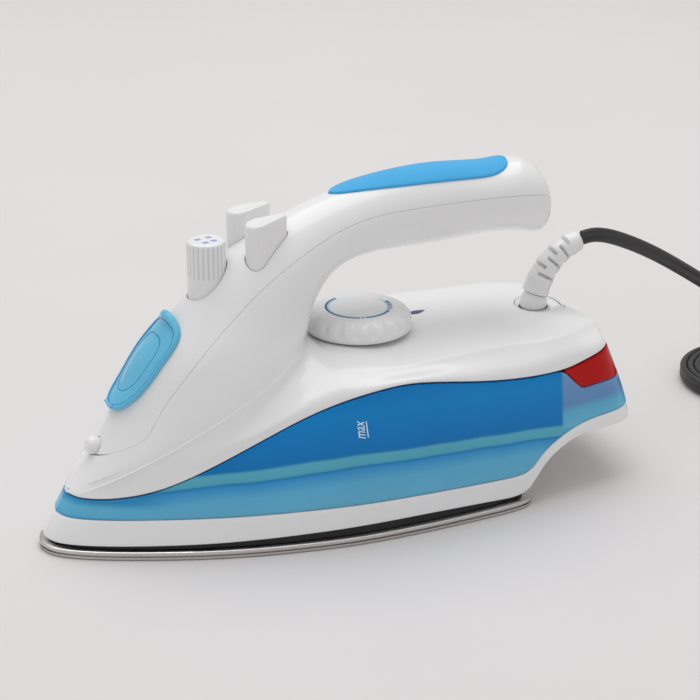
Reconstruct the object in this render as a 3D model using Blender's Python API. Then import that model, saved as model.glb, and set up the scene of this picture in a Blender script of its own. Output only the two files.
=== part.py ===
"""Household steam iron with a free-ended handle, a see-through water tank and a swivelling cord guard.

The nose points along -X, the heel along +X, and the sole rests on Z = 0. Lengths are in millimetres
until a mesh is made, which is in metres.
"""

import math

import bmesh
import bpy
import numpy as np

MM = 0.001
GAP = 0.3
WALL = 2.2

HULL_LENGTH = 288.0
NOSE_X = -144.0
BAND_STATIONS = 26

SOLE_FRONT, SOLE_REAR, SOLE_HALF = -144.0, 80.4, 59.0
STEAM_HOLE_RADIUS = 1.6
ELEMENT_RADIUS = 3.0

DIAL_X = 13.0
KNOB_X = -61.0
KNOB_RADIUS = 8.8
BUTTON_FRONT, BUTTON_BACK, BUTTON_RADIUS = -40.8, -28.6, 5.7
BUTTON_Y = 10.6
BUTTON_FOOT = 119.0
PUMP_X = -38.5
NOZZLE = (-116.5, 0, 45.5)
NOZZLE_AXIS = (-0.9, 0, 0.43)

PORT = (-96.5, 0, 82.5)
PORT_AXIS = (-0.83, 0, 0.56)
FUNNEL_X = -79.0
CAP_LENGTH, CAP_WIDTH = 24.5, 15.0
CAP_MIDDLE_Z = 82.5
HINGE_HEIGHT = 3.0

GRIP_START, GRIP_LENGTH = -1.5, 89.8

SOCKET_X = 109.4
BALL = (106.0, 0.0, 77.0)
BALL_RADIUS = 6.2
GUARD_START_AXIS = (0.3, 0, 0.95)
GUARD_RADII = (6.1, 4.8)
GUARD_ROUTE = [(106.4, 0, 81.4), (108.3, 0, 87.5), (111.9, 0, 94), (117.2, 0, 99.8),
               (123.3, 0, 103.8), (129.8, 0, 106.2)]

CORD_WIDTH = 7.2
HANK_Z = 5.0
HANK_LEFT, HANK_RIGHT, HANK_Y = 256.0, 364.0, 27.0
INNER_TURN, TURN_PITCH, TURNS = 22.0, 4.2, 4
TIE_WIDTH = 12.0
CORD_ROUTE = [(131.8, 0, 106.9), (136, 0.4, 107.3), (146, 2, 105.4), (157, 5, 100.8),
              (178, 11, 89.8), (202, 19, 75.0), (224, 27.5, 60.5), (250, 38.5, 43.5),
              (275, 49, 29.0), (296, 56, 18.0), (310, 58.6, 13.6)]
TAIL_ROUTE = [(341, 11.2, 5.0), (334, 12.4, 5.0), (325, 16.4, 5.5), (316, 22.0, 6.6),
              (308, 26.2, 7.6), (299.9, 27.0, 7.8)]
PLUG_FRONT = 258.0
PLUG_Z = 7.8
PIN_SPACING = 12.7

WHITE = (0.86, 0.87, 0.88)
TANK_BLUE = (0.03, 0.3, 0.75)
PALE_BLUE = (0.1, 0.5, 0.85)
BLACK = (0.02, 0.02, 0.022)
STEEL = (0.6, 0.58, 0.56)
BRASS = (0.7, 0.5, 0.2)
RED = (0.6, 0.01, 0.01)
GREY = (0.5, 0.5, 0.52)
SLEEVE = (0.7, 0.65, 0.55)

SIDES = ((-1, "near"), (1, "far"))


# ---------------------------------------------------------------- curves


def spline(knots, values):
    """Smooth curve through values at knots, with no bend at its ends."""
    knots = np.asarray(knots, float)
    values = np.asarray(values, float)
    if values.ndim == 1:
        values = values[:, None]
    count = len(knots)
    step = np.diff(knots)
    matrix = np.eye(count)
    right = np.zeros((count, values.shape[1]))
    for i in range(1, count - 1):
        matrix[i, i - 1 : i + 2] = step[i - 1], 2 * (step[i - 1] + step[i]), step[i]
        slope_after = (values[i + 1] - values[i]) / step[i]
        slope_before = (values[i] - values[i - 1]) / step[i - 1]
        right[i] = 6 * (slope_after - slope_before)
    bend = np.linalg.solve(matrix, right)

    def at(place):
        place = np.clip(np.asarray(place, float), knots[0], knots[-1])
        i = np.clip(np.searchsorted(knots, place, side="right") - 1, 0, count - 2)
        before = ((knots[i + 1] - place) / step[i])[..., None]
        after = ((place - knots[i]) / step[i])[..., None]
        square = (step[i] ** 2)[..., None] / 6
        cubic = (before**3 - before) * bend[i] + (after**3 - after) * bend[i + 1]
        return before * values[i] + after * values[i + 1] + cubic * square

    return at


def along(points):
    """Smooth curve through points, run from 0 to 1 by distance."""
    points = np.asarray(points, float)
    distance = np.concatenate([[0], np.cumsum(np.linalg.norm(np.diff(points, axis=0), axis=1))])
    return spline(distance / distance[-1], points)


def unit(vector):
    vector = np.asarray(vector, float)
    return vector / np.maximum(np.linalg.norm(vector, axis=-1, keepdims=True), 1e-12)


# ---------------------------------------------------------------- hull

# Half of the hull's plan at the sole: (x, half width) from the nose to the middle of the transom.
PLAN = [(-144, 0), (-141.5, 8), (-136.5, 13.5), (-128, 19.5), (-110, 29), (-92, 37), (-74, 43.8),
        (-54, 49.7), (-35, 54), (-17, 57), (5, 58.7), (27, 59), (48, 58.5), (69, 57), (95, 54),
        (118, 50.5), (130, 47.6), (137, 42.5), (140.6, 34), (143, 18), (144, 0)]
NOSE_RAKE = spline([0, 8, 17, 26, 35, 43, 53, 66, 80],
                   [-144, -141.5, -136.5, -131, -126, -121, -115, -107, -99])
REAR_RAKE = spline([0, 27, 50, 80], [144, 144, 137, 124])
NARROWING = spline([0, 8, 20, 45, 70, 80], [1, 0.972, 0.962, 0.945, 0.905, 0.885])

# Heights along the hull: the skirt's lower edge, the tank's lower edge, the tank's upper edge
# and the white body's lower edge, which parts from the tank's edge round the rear lamp.
SKIRT_EDGE = spline([-150, 60, 72, 77, 82, 90, 103, 116, 150], [8, 8, 8, 10, 16, 23, 28.2, 29, 28])
TANK_FOOT = spline([-150, 60, 71, 77, 82, 90, 103, 116, 150], [17, 17, 17, 19, 24, 29.5, 34.4, 36, 36])
TANK_RIM = spline([-150, -131, -122, -112, -98, -84, -70, -51, -33, -14, -1, 12, 28, 51, 69, 81,
                   92, 98, 103, 110, 150],
                  [25.5, 25.5, 25.8, 27, 30.3, 36, 43, 53, 61.5, 67.7, 70.3, 71.4, 70, 66.3, 64, 63,
                   62.6, 60, 54, 52, 50.5])
BODY_EDGE = spline([-150, -131, -122, -112, -98, -84, -70, -51, -33, -14, -1, 12, 28, 51, 69, 81,
                    92, 97, 107, 116, 150],
                   [25.5, 25.5, 25.8, 27, 30.3, 36, 43, 53, 61.5, 67.7, 70.3, 71.4, 70, 66.3, 64,
                    63, 62.6, 62.7, 64.1, 65.8, 68.5])

plan_curve = along(PLAN)


def plan_place(x, low=0.0, high=0.8):
    """Where along the plan its near side reaches x at the sole."""
    for _ in range(40):
        middle = (low + high) / 2
        if plan_curve(middle)[0] < x:
            low = middle
        else:
            high = middle
    return (low + high) / 2


def hull(place, z):
    """The hull's surface on the near side: place runs from the nose to the middle of the transom."""
    flat = plan_curve(place)
    nose = NOSE_RAKE(z)[..., 0]
    rear = REAR_RAKE(z)[..., 0]
    x = nose + (flat[..., 0] - NOSE_X) / HULL_LENGTH * (rear - nose)
    return np.stack([x, -flat[..., 1] * NARROWING(z)[..., 0], z + 0 * x], -1)


def hull_edge(place, height, offset=0.0):
    """The point of the hull where it meets the curve of heights, found by a few corrections."""
    z = height(hull(place, np.asarray(40.0))[..., 0])[..., 0]
    for _ in range(8):
        z = height(hull(place, z)[..., 0])[..., 0]
    return hull(place, z + offset)


def edge_place(x, low=0.0, high=0.88):
    """Where along the plan the white body's edge reaches x."""
    for _ in range(40):
        middle = (low + high) / 2
        if hull_edge(middle, BODY_EDGE)[0] < x:
            low = middle
        else:
            high = middle
    return (low + high) / 2


def hull_normal(place, z):
    step = 1e-4
    across = hull(min(place + step, 1), z) - hull(max(place - step, 0), z)
    up = hull(place, z + 0.1) - hull(place, z - 0.1)
    return unit(np.cross(across, up))


# ---------------------------------------------------------------- upper body

# One strip runs forward along the deck, up round the finger opening and back along the handle.
# Each row is a rib across it: the outer end (a place on the hull's edge, or x and z on the ridge),
# the inner end (x, z), the rib's shoulder (distance along and out), the shoulder's slant in
# degrees, and the fullness at the inner end, before and after the shoulder, and at the outer end.
HULL_RIBS = [
    (1.000, (84, 77.0), (3.0, 37, 60), (0.5, 0.45, 1.0, 1.0)),
    (0.955, (84, 77.0), (3.2, 41, 60), (0.5, 0.45, 1.0, 1.0)),
    (0.905, (84, 77.0), (3.4, 48, 60), (0.5, 0.45, 1.0, 1.0)),
    (0.870, (84, 77.0), (3.4, 46, 60), (0.5, 0.45, 1.0, 1.0)),
    (None, (84, 77.0), (3.2, 41, 62), (0.5, 0.45, 1.0, 1.0), 84),
    (None, (50, 78.6), (3.0, 42, 62), (0.5, 0.45, 1.0, 1.0), 50),
    (None, (18, 79.4), (3.2, 44, 60), (0.5, 0.45, 1.0, 1.0), 18),
    (None, (-7, 79.8), (4.0, 42, 55), (0.6, 0.7, 1.0, 1.0), -14),
    (None, (-14, 81.6), (10, 39, 42), (0.8, 1.0, 1.0, 1.0), -38),
    (None, (-16.6, 85.5), (24, 39, 15), (0.9, 1.0, 1.0, 1.0), -66),
    (None, (-16.8, 88.5), (36, 37.5, 4), (1.0, 1.0, 0.75, 0.6), -100),
    (None, (-16.4, 91), (40, 37, 0), (1.0, 1.0, 0.65, 0.3), -128),
]
RIDGE_RIBS = [
    ((-131, 25.7), (-16, 93), (42, 36.5, 0), (1.0, 1.0, 0.6, 0.75)),
    ((-118.5, 42), (-15, 95.5), (42, 35.5, 0), (1.0, 1.0, 0.65, 0.9)),
    ((-107, 61.5), (-13.5, 98.5), (41, 33.5, 0), (1.0, 1.0, 0.7, 0.85)),
    ((-95.6, 81.6), (-11, 102.5), (39, 30, 0), (1.0, 1.0, 0.8, 0.82)),
    ((-78, 99.8), (-7, 108), (33, 26, 0), (1.0, 1.0, 0.9, 0.88)),
    ((-57, 120), (-1, 113.6), (27, 22.5, 0), (1.0, 1.0, 1.0, 0.95)),
    ((-30, 137), (9, 117.2), (21, 19.5, 0), (1.0, 1.0, 1.0, 0.95)),
    ((0, 147.6), (24, 118), (19, 18, 0), (1.0, 1.0, 1.0, 1.0)),
    ((27, 152.4), (40, 117.8), (18.5, 17.5, 0), (1.0, 1.0, 1.0, 1.0)),
    ((54, 153.3), (58, 118), (18.5, 17.5, 0), (1.0, 1.0, 1.0, 1.0)),
    ((78, 151.6), (78, 118.6), (18, 17.5, 0), (1.0, 1.0, 1.0, 1.0)),
    ((92.6, 152.4), (93, 117.2), (17.5, 18, 0), (1.0, 1.0, 1.0, 1.0)),
    ((101.2, 149.2), (100.6, 115.6), (17, 17.8, 0), (1.0, 1.0, 1.0, 1.0)),
    ((106.0, 143), (105.2, 117.2), (13, 14.2, 0), (1.0, 1.0, 1.0, 1.0)),
    ((107.9, 135.5), (107.7, 125.5), (5, 6.0, 0), (1.0, 1.0, 1.0, 1.0)),
    ((108.2, 131), (108.2, 130.4), (0.3, 0.4, 0), (1.0, 1.0, 1.0, 1.0)),
]
FAN_RIB = 4
NOSE_RIB = len(HULL_RIBS)
LAST_RIB = NOSE_RIB + len(RIDGE_RIBS) - 1

ALL_RIBS = HULL_RIBS + RIDGE_RIBS
rib_inner = spline(range(FAN_RIB, LAST_RIB + 1), [row[1] for row in ALL_RIBS[FAN_RIB:]])
rib_shoulder = spline(range(LAST_RIB + 1), [row[2] for row in ALL_RIBS])
rib_fullness = spline(range(LAST_RIB + 1), [row[3] for row in ALL_RIBS])
EDGE_PLACES = [edge_place(row[4]) if row[0] is None else row[0] for row in HULL_RIBS] + [0.0]
rib_place = spline(range(NOSE_RIB + 1), EDGE_PLACES)
rib_ridge = spline(range(NOSE_RIB, LAST_RIB + 1), [row[0] for row in RIDGE_RIBS])

# The top cover's lower edge, as a share of the way across each rib, from the nozzle backwards.
SEAM_START = NOSE_RIB + 1.0
SEAM = spline([SEAM_START, SEAM_START + 0.12, SEAM_START + 0.25, SEAM_START + 0.5, 13.8, 14.2, 14.7,
               15.3, 16, 16.6, 17.3, 18, 18.8, 19.6, 20.4, 21.2, 22.2, 24, 25, 26, LAST_RIB],
              [1.0, 0.92, 0.86, 0.81, 0.782, 0.755, 0.718, 0.692, 0.666, 0.642, 0.617, 0.602, 0.6,
               0.592, 0.573, 0.56, 0.55, 0.56, 0.575, 0.58, 0.5])


def rib(u):
    """The rib at u: four points of each of its two Bezier arcs, from the inner end to the outer."""
    inner_x, inner_z = rib_inner(u)
    inner = np.array([inner_x, 0, inner_z])
    ahead, out, slant = rib_shoulder(u)
    full = rib_fullness(u)
    if u < NOSE_RIB:
        place = float(np.clip(rib_place(u)[0], 0, 1))
        outer = hull_edge(place, BODY_EDGE, 0.5)
        normal = hull_normal(place, outer[2])
    else:
        ridge_x, ridge_z = rib_ridge(u)
        outer = np.array([ridge_x, 0, ridge_z])
        normal = None
    if u < FAN_RIB:
        down = np.array([0, 0, -1.0])
        level = outer - inner
        level[2] = 0
        side = unit(level)
    else:
        side = np.array([0, -1.0, 0])
        down = outer - inner
        down[1] = 0
        down = unit(down)
    reach = outer - inner
    end = np.array([reach @ down, reach @ side])
    if normal is None:
        finish = np.array([0, -1.0])
    else:
        tangent = np.cross(normal, np.cross(side, down))
        finish = unit(np.array([tangent @ down, tangent @ side]))
        if finish @ np.array([1, -0.99]) < 0:
            finish = -finish
        share = min((NOSE_RIB - u) / 0.9, 1)
        share = share * share * (3 - 2 * share)
        finish = unit(finish * share + np.array([0, -1.0]) * (1 - share))
    lean = math.radians(slant)
    at_shoulder = np.array([math.cos(lean), math.sin(lean)])
    shoulder = np.array([ahead, out])
    start = np.array([0.0, 0.0])
    across = np.array([0.0, 1.0])
    quarter = 0.5523
    first = [start,
             start + across * quarter * full[0] * abs((shoulder - start) @ across),
             shoulder - at_shoulder * quarter * full[1] * abs((shoulder - start) @ at_shoulder),
             shoulder]
    second = [shoulder,
              shoulder + at_shoulder * quarter * full[2] * abs((end - shoulder) @ at_shoulder),
              end - finish * quarter * full[3] * abs((end - shoulder) @ finish),
              end]
    return [[inner + down * p[0] + side * p[1] for p in arc] for arc in (first, second)]


def bezier(points, t):
    a, b, c, d = points
    s = 1 - t
    return a * s**3 + 3 * b * s * s * t + 3 * c * s * t * t + d * t**3


def body_point(u, v):
    """The upper body's surface: u along the strip, v across it from the inner to the outer end."""
    first, second = rib(u)
    return bezier(first, v * 2) if v <= 0.5 else bezier(second, v * 2 - 1)


def body_grid(u_values, v_low, v_high, rows, inset):
    """Points of the near half of the upper body between two edges, moved inward by inset."""
    grid = []
    for u in u_values:
        low, high = v_low(u), v_high(u)
        line = []
        for k in range(rows + 1):
            v = low + (high - low) * k / rows
            line.append(body_point(u, v) - body_normal(u, v) * inset)
        grid.append(line)
    return np.array(grid)


def body_normal(u, v):
    """Outward unit normal of the near half."""
    du, dv = 0.02, 0.01
    u0, u1 = max(u - du, 0), min(u + du, LAST_RIB)
    if u0 < NOSE_RIB < u1:
        u0, u1 = (u0, NOSE_RIB - 1e-6) if u < NOSE_RIB else (NOSE_RIB, u1)
    v0, v1 = max(v - dv, 0), min(v + dv, 1)
    beside = min(max(v, dv), 1 - dv)
    along_u = body_point(u1, beside) - body_point(u0, beside)
    along_v = body_point(u, v1) - body_point(u, v0)
    normal = np.cross(along_u, along_v)
    if u < FAN_RIB and v < 1e-6:
        return np.array([0, 0, 1.0])
    if np.linalg.norm(normal) < 1e-9:
        return np.array([1.0, 0, 0])
    normal = unit(normal)
    if v < 1e-6 or (u >= NOSE_RIB and v > 1 - 1e-6) or u < 1e-6:
        normal[1] = 0
    if u <= NOSE_RIB and v > 1 - 1e-6:
        normal[2] = 0
    return unit(normal)


# ================ MESHES


def material(name, colour, roughness=0.35, metallic=0.0, alpha=1.0):
    made = bpy.data.materials.new(name)
    made.use_nodes = True
    shader = made.node_tree.nodes["Principled BSDF"]
    shader.inputs["Base Color"].default_value = (*colour, 1)
    shader.inputs["Roughness"].default_value = roughness
    shader.inputs["Metallic"].default_value = metallic
    shader.inputs["Alpha"].default_value = alpha
    made.diffuse_color = (*colour, 1)
    return made


def add(name, bm, look, origin=(0, 0, 0), smooth=True):
    """Makes an object of a mesh given in millimetres, with its origin at the point given."""
    bmesh.ops.remove_doubles(bm, verts=bm.verts, dist=0.002)
    bmesh.ops.dissolve_degenerate(bm, edges=bm.edges, dist=0.002)
    bmesh.ops.recalc_face_normals(bm, faces=bm.faces)
    if bm.calc_volume(signed=True) < 0:
        bmesh.ops.reverse_faces(bm, faces=bm.faces)
    for vert in bm.verts:
        vert.co = [(vert.co[k] - origin[k]) * MM for k in range(3)]
    mesh = bpy.data.meshes.new(name)
    bm.to_mesh(mesh)
    bm.free()
    if smooth:
        mesh.shade_smooth()
        mesh.set_sharp_from_angle(angle=math.radians(40))
    made = bpy.data.objects.new(name, mesh)
    made.location = [c * MM for c in origin]
    if look:
        mesh.materials.append(material(name, *look))
    bpy.context.scene.collection.objects.link(made)
    return made


def cut(target, *cutters):
    """Takes the cutters' shapes out of the target."""
    for cutter in cutters:
        cutter.hide_render = True
        cutter.display_type = "WIRE"
        modifier = target.modifiers.new("cut_" + cutter.name, "BOOLEAN")
        modifier.operation = "DIFFERENCE"
        modifier.solver = "EXACT"
        modifier.object = cutter


def rings_mesh(rings, caps=True, loop=False, bm=None):
    """Closed mesh through rings of equally many points: capped at both ends, or joined in a loop."""
    bm = bm or bmesh.new()
    made = [[bm.verts.new(tuple(map(float, p))) for p in ring] for ring in rings]
    count = len(made[0])
    pairs = list(zip(made, made[1:]))
    if loop:
        pairs.append((made[-1], made[0]))
    for a, b in pairs:
        for i in range(count):
            j = (i + 1) % count
            bm.faces.new((a[i], a[j], b[j], b[i]))
    if caps and not loop:
        bm.faces.new(made[0])
        bm.faces.new(reversed(made[-1]))
    return bm


def half_shell(outer, inner):
    """Solid between two grids of the near half and their mirror image, joined where they meet Y = 0."""
    bm = bmesh.new()
    for side in (1, -1):
        layers = []
        for grid in (outer, inner):
            flipped = np.array(grid, float)
            flipped[..., 1] = np.minimum(flipped[..., 1], 0) * side
            layers.append([[bm.verts.new(tuple(p)) for p in row] for row in flipped])
        rows, columns = len(outer), len(outer[0])
        top, under = layers
        for i in range(rows - 1):
            for j in range(columns - 1):
                around = [(i, j), (i, j + 1), (i + 1, j + 1), (i + 1, j)]
                a, b, c, d = (top[k][m].co for k, m in around)
                turn = 0 if (a - c).length < (b - d).length else 1
                around = around[turn:] + around[:turn]
                for layer in layers:
                    for three in (around[:3], around[2:] + around[:1]):
                        bm.faces.new([layer[k][m] for k, m in three])
        rims = [[(i, j), (i + 1, j)] for j in (0, columns - 1) for i in range(rows - 1)]
        rims += [[(i, j), (i, j + 1)] for i in (0, rows - 1) for j in range(columns - 1)]
        for (i, j), (k, m) in rims:
            corner = (top[i][j], top[k][m], under[k][m], under[i][j])
            if max(abs(v.co.y) for v in corner) > 1e-4:
                bm.faces.new(corner)
    bmesh.ops.remove_doubles(bm, verts=bm.verts, dist=0.002)
    return bm


def frame_at(direction):
    """Two unit vectors square to a direction and to each other."""
    direction = unit(direction)
    helper = np.array([0, 1.0, 0]) if abs(direction[1]) < 0.9 else np.array([1.0, 0, 0])
    first = unit(np.cross(helper, direction))
    return first, np.cross(direction, first)


def turned(profile, centre=(0, 0, 0), axis=(0, 0, 1), segments=24, wave=None, bm=None):
    """Closed turned shape: profile of (radius, height) along the axis, closed on itself if hollow."""
    first, second = frame_at(axis)
    axis = unit(axis)
    centre = np.array(centre, float)
    hollow = profile[0] == profile[-1]
    rings = []
    for k, (radius, height) in enumerate(profile[:-1] if hollow else profile):
        ring = []
        for i in range(segments):
            angle = 2 * math.pi * i / segments
            reach = radius + (wave(k, i) if wave else 0)
            ring.append(centre + axis * height
                        + (first * math.cos(angle) + second * math.sin(angle)) * reach)
        rings.append(ring)
    return rings_mesh(rings, loop=hollow, bm=bm)


def pipe(path, radius, sides=8, bore=None, bm=None):
    """Round bar along points, or a pipe with a bore, open at both ends."""
    path = np.array(path, float)
    tangents = unit(np.gradient(path, axis=0))
    up, _ = frame_at(tangents[0])
    radii = np.broadcast_to(np.asarray(radius, float), (len(path),))
    outer, inner = [], []
    for point, tangent, size in zip(path, tangents, radii):
        up = unit(up - tangent * (up @ tangent))
        side = np.cross(tangent, up)
        turn = [2 * math.pi * i / sides for i in range(sides)]
        spokes = [up * math.cos(a) + side * math.sin(a) for a in turn]
        outer.append([point + s * size for s in spokes])
        if bore:
            inner.append([point + s * bore for s in spokes])
    if bore:
        return rings_mesh(outer + inner[::-1], loop=True, bm=bm)
    return rings_mesh(outer, bm=bm)


def block(low, high, bm=None):
    corners = [(low[0], low[1]), (high[0], low[1]), (high[0], high[1]), (low[0], high[1])]
    return rings_mesh([[(x, y, z) for x, y in corners] for z in (low[2], high[2])], bm=bm)


def upright(name, x, y, radius, low, high, look=None, sides=20):
    return add(name, turned([(radius, low), (radius, high)], (x, y, 0), segments=sides), look)


# ---------------------------------------------------------------- sole and heater

SOLE_PLAN = PLAN[:14] + [(75.3, 55), (78.6, 51.2), (79.8, 46), (80.2, 30), (80.4, 0)]


def sole_outline(side=0.0, nose=0.0, heel=0.0, count=26):
    """The sole's outline, drawn in by so much at its sides, nose and heel."""
    near = along(SOLE_PLAN)(np.linspace(0, 1, count))
    stretch = (SOLE_REAR - heel - SOLE_FRONT - nose) / (SOLE_REAR - SOLE_FRONT)
    x = SOLE_FRONT + nose + (near[:, 0] - SOLE_FRONT) * stretch
    y = near[:, 1] * (SOLE_HALF - side) / SOLE_HALF
    lower = [(a, -b) for a, b in zip(x, y)]
    upper = [(a, b) for a, b in zip(x[-2:0:-1], y[-2:0:-1])]
    return lower + upper


def stepped(levels, count=17):
    """Solid through outlines of the sole's shape: levels of (side, nose, heel, height)."""
    rings = [[(x, y, z) for x, y in sole_outline(side, nose, heel, count)]
             for side, nose, heel, z in levels]
    return rings


def make_sole():
    rim = [(1.0, 0.0), (0.0, 0.9), (0.0, 1.7), (0.8, 2.2), (0.1, 3.0), (0.6, 4.0)]
    sole = add("soleplate", rings_mesh(stepped([(i, i, i, z) for i, z in rim], 24)),
               (STEEL, 0.25, 1.0))
    holes = bmesh.new()
    for side in (-1, 1):
        for x, y in [(-110, 12), (-92, 21), (-72, 29), (-50, 36), (-27, 40.5), (-3, 43), (22, 44)]:
            turned([(STEAM_HOLE_RADIUS, -1), (STEAM_HOLE_RADIUS, 6)], (x, side * y, 0),
                   segments=6, bm=holes)
    cut(sole, add("steam_hole_cutter", holes, None))


def make_heater():
    casting = [(12, 23, 15, 4.3), (12, 23, 15, 8.0), (25, 54, 43, 8.0), (25, 54, 43, 13.0),
               (28, 60, 47, 13.0), (28, 60, 47, 9.0)]
    add("heater_casting", rings_mesh(stepped(casting)), (GREY, 0.5, 1.0))
    cover = add("steam_chamber_cover",
                rings_mesh(stepped([(25, 54, 43, 13.3), (25, 54, 43, 14.3)])), (GREY, 0.4, 1.0))
    cut(cover, upright("chamber_inlet_cutter", KNOB_X, 0, 4.3, 12, 16))
    half = [(62, 30), (48, 37), (30, 40.5), (0, 41), (-30, 36.5), (-60, 28), (-85, 18.5), (-98, 10),
            (-102, 0)]
    whole = half + [(x, -y) for x, y in half[-2::-1]]
    route = along([(x, y, 11.4) for x, y in whole])(np.linspace(0, 1, 28))
    add("heating_element", pipe(route, ELEMENT_RADIUS), (GREY, 0.4, 1.0))
    shield = [(3, 4, 3, 4.4), (3, 4, 3, 7.7), (6.8, 17, 10, 7.7), (6.8, 17, 10, 16.4),
              (9.2, 19, 12, 14.8), (9.2, 19, 12, 4.4)]
    shield = add("heat_shield", rings_mesh(stepped(shield), loop=True), (BLACK, 0.6))
    cut(shield, upright("shield_inlet_cutter", KNOB_X, 0, 4.3, 12, 20),
        upright("shield_well_cutter", DIAL_X, 0, 13.8, 12, 20))
    passages = bmesh.new()
    for side in (-1, 1):
        pipe([(64, side * 30, 11.4), (78, side * 30, 11.4)], 2.2, bm=passages)
    cut(shield, add("lead_passage_cutter", passages, None))


# ---------------------------------------------------------------- hull bands


def hull_inset(place, z, inset):
    """A point of the hull, moved level and inward by the inset."""
    normal = hull_normal(place, z)
    normal[2] = 0
    if place <= 0 or place >= 1:
        normal[1] = 0
    point = hull(place, z) - unit(normal) * inset
    point[1] = min(point[1], 0)
    return point


def stations(start=0.0, end=1.0, count=BAND_STATIONS):
    """Places along the hull, closer together round its nose and its rear corner."""
    spread = [(0, 0.0), (0.1, 0.02), (0.2, 0.07), (0.55, 0.6), (0.68, 0.79), (0.8, 0.86),
              (0.9, 0.92), (1, 1.0)]
    share = np.interp(np.linspace(0, 1, count), *zip(*spread)) if (start, end) == (0, 1) else \
        np.linspace(0, 1, count)
    return start + (end - start) * share


def band_grids(places, low, high, rows=3, inset=WALL):
    """Outer and inner grids of a wall of the hull, between two curves of heights."""
    outer, inner = [], []
    for place in places:
        bottom = hull_edge(place, low, GAP / 2)[2]
        top = hull_edge(place, high, -0.4)[2]
        heights = np.linspace(bottom, top, rows + 1)
        outer.append([hull_inset(place, z, 0) for z in heights])
        inner.append([hull_inset(place, z, inset) for z in heights])
    return np.array(outer), np.array(inner)


def make_skirt():
    add("skirt", half_shell(*band_grids(stations(), SKIRT_EDGE, TANK_FOOT, 1)), (WHITE, 0.3))


def cross_plate(places, inset, bottom, top, columns=1):
    """Plate across the hull's inside between two curves of heights, as half grids."""
    grids = []
    for height in (top, bottom):
        rows = []
        for place in places:
            z = float(height(hull(place, 30.0)[0])[0])
            for _ in range(6):
                edge = hull_inset(place, z, inset)
                z = float(height(edge[0])[0])
            rows.append([(edge[0], edge[1] * k / columns, z) for k in range(columns + 1)])
        grids.append(np.array(rows))
    return grids


def raised(height, lift):
    """The curve of heights, moved up."""
    def at(x):
        return height(x) + lift
    return at


def make_heel_cover():
    """The panel that closes the undercut behind the sole, with its screw holes."""
    places = stations(plan_place(74), 1.0, 16)
    cover = add("heel_cover", half_shell(*cross_plate(places, WALL + 1.4, raised(SKIRT_EDGE, 0.2),
                                                      raised(SKIRT_EDGE, 2.2))), (WHITE, 0.4))
    for side, name in SIDES:
        centre = (118, side * 30, 0)
        hole = turned([(2.3, 26), (2.3, 33)], centre, segments=12)
        cut(cover, add(f"heel_screw_cutter_{name}", hole, None))
        screw = turned([(3.8, 26.2), (3.8, 28.4), (1.9, 28.6), (1.9, 33.5)], centre, segments=12)
        add(f"heel_cover_screw_{name}", screw, (STEEL, 0.3, 1.0))


def make_tank():
    outer, inner = band_grids(stations(), TANK_FOOT, TANK_RIM, 3)
    grids = []
    for grid, lift in ((outer, 0), (inner, 2.0)):
        rows = []
        for row in grid:
            wall = [np.array(p) for p in row[::-1]]
            foot = wall[-1].copy()
            foot[2] += lift
            wall[-1] = foot
            wall += [foot * (1, share, 1) for share in (0.6, 0.2, 0)]
            rows.append(wall)
        grids.append(np.array(rows))
    tank = add("water_tank", half_shell(*grids), (TANK_BLUE, 0.1, 0.0, 0.6))
    cut(tank, upright("tank_well_cutter", DIAL_X, 0, 15.8, 10, 30),
        upright("tank_valve_cutter", KNOB_X, 0, 4.3, 10, 30),
        upright("tank_lead_cutter", 112, 0, 9, 30, 42))
    lid = add("tank_lid", half_shell(*cross_plate(stations(0.07, plan_place(96), 14), WALL + 1.2,
                                                  raised(TANK_RIM, -6), raised(TANK_RIM, -4))),
              (WHITE, 0.4))
    cut(lid, upright("lid_well_cutter", DIAL_X, 0, 15.8, 50, 80),
        upright("lid_valve_cutter", KNOB_X, 0, 2.6, 30, 60),
        upright("lid_funnel_cutter", FUNNEL_X, 0, 8.0, 25, 50))
    add("thermostat_well", turned([(15.4, 17.5), (15.4, 68), (14.0, 68), (14.0, 17.5), (15.4, 17.5)],
                                  (DIAL_X, 0, 0), segments=24), (WHITE, 0.4))
    wall = [(-44, 36), (44, 36), (45, 57), (-45, 57)]
    partition = rings_mesh([[(x, y, z) for y, z in wall] for x in (96.6, 98.6)])
    add("tank_rear_wall", partition, (TANK_BLUE, 0.1, 0.0, 0.6))
    places = stations(plan_place(101.5), 1.0, 18)
    add("rear_lamp_lens", half_shell(*band_grids(places, TANK_RIM, BODY_EDGE, 2)), (RED, 0.15))


# ---------------------------------------------------------------- body and cover


def seam_gap(u, side):
    """Place of the seam's edge on one side of its gap."""
    place = float(SEAM(u)[0])
    before, after = max(u - 0.02, SEAM_START), min(u + 0.02, LAST_RIB)
    turn = float(SEAM(after)[0] - SEAM(before)[0])
    forward = np.linalg.norm(body_point(after, place) - body_point(before, place))
    across = np.linalg.norm(body_point(u, min(place + 0.01, 1)) - body_point(u, place - 0.01)) / 0.02
    lean = abs(turn) * across / max(forward, 0.01)
    reach = GAP / 2 * math.hypot(1, min(lean, 6)) / max(across, 0.5)
    return min(place + side * min(reach, 0.2), 1.0)


def body_top(u):
    """Where across a rib the body shell ends: at the ridge, or at the seam."""
    return 1.0 if u <= SEAM_START else seam_gap(u, -1)


def body_low(u):
    return 0.0


def cover_low(u):
    return seam_gap(u, 1)


def ridge(u):
    return 1.0


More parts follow.
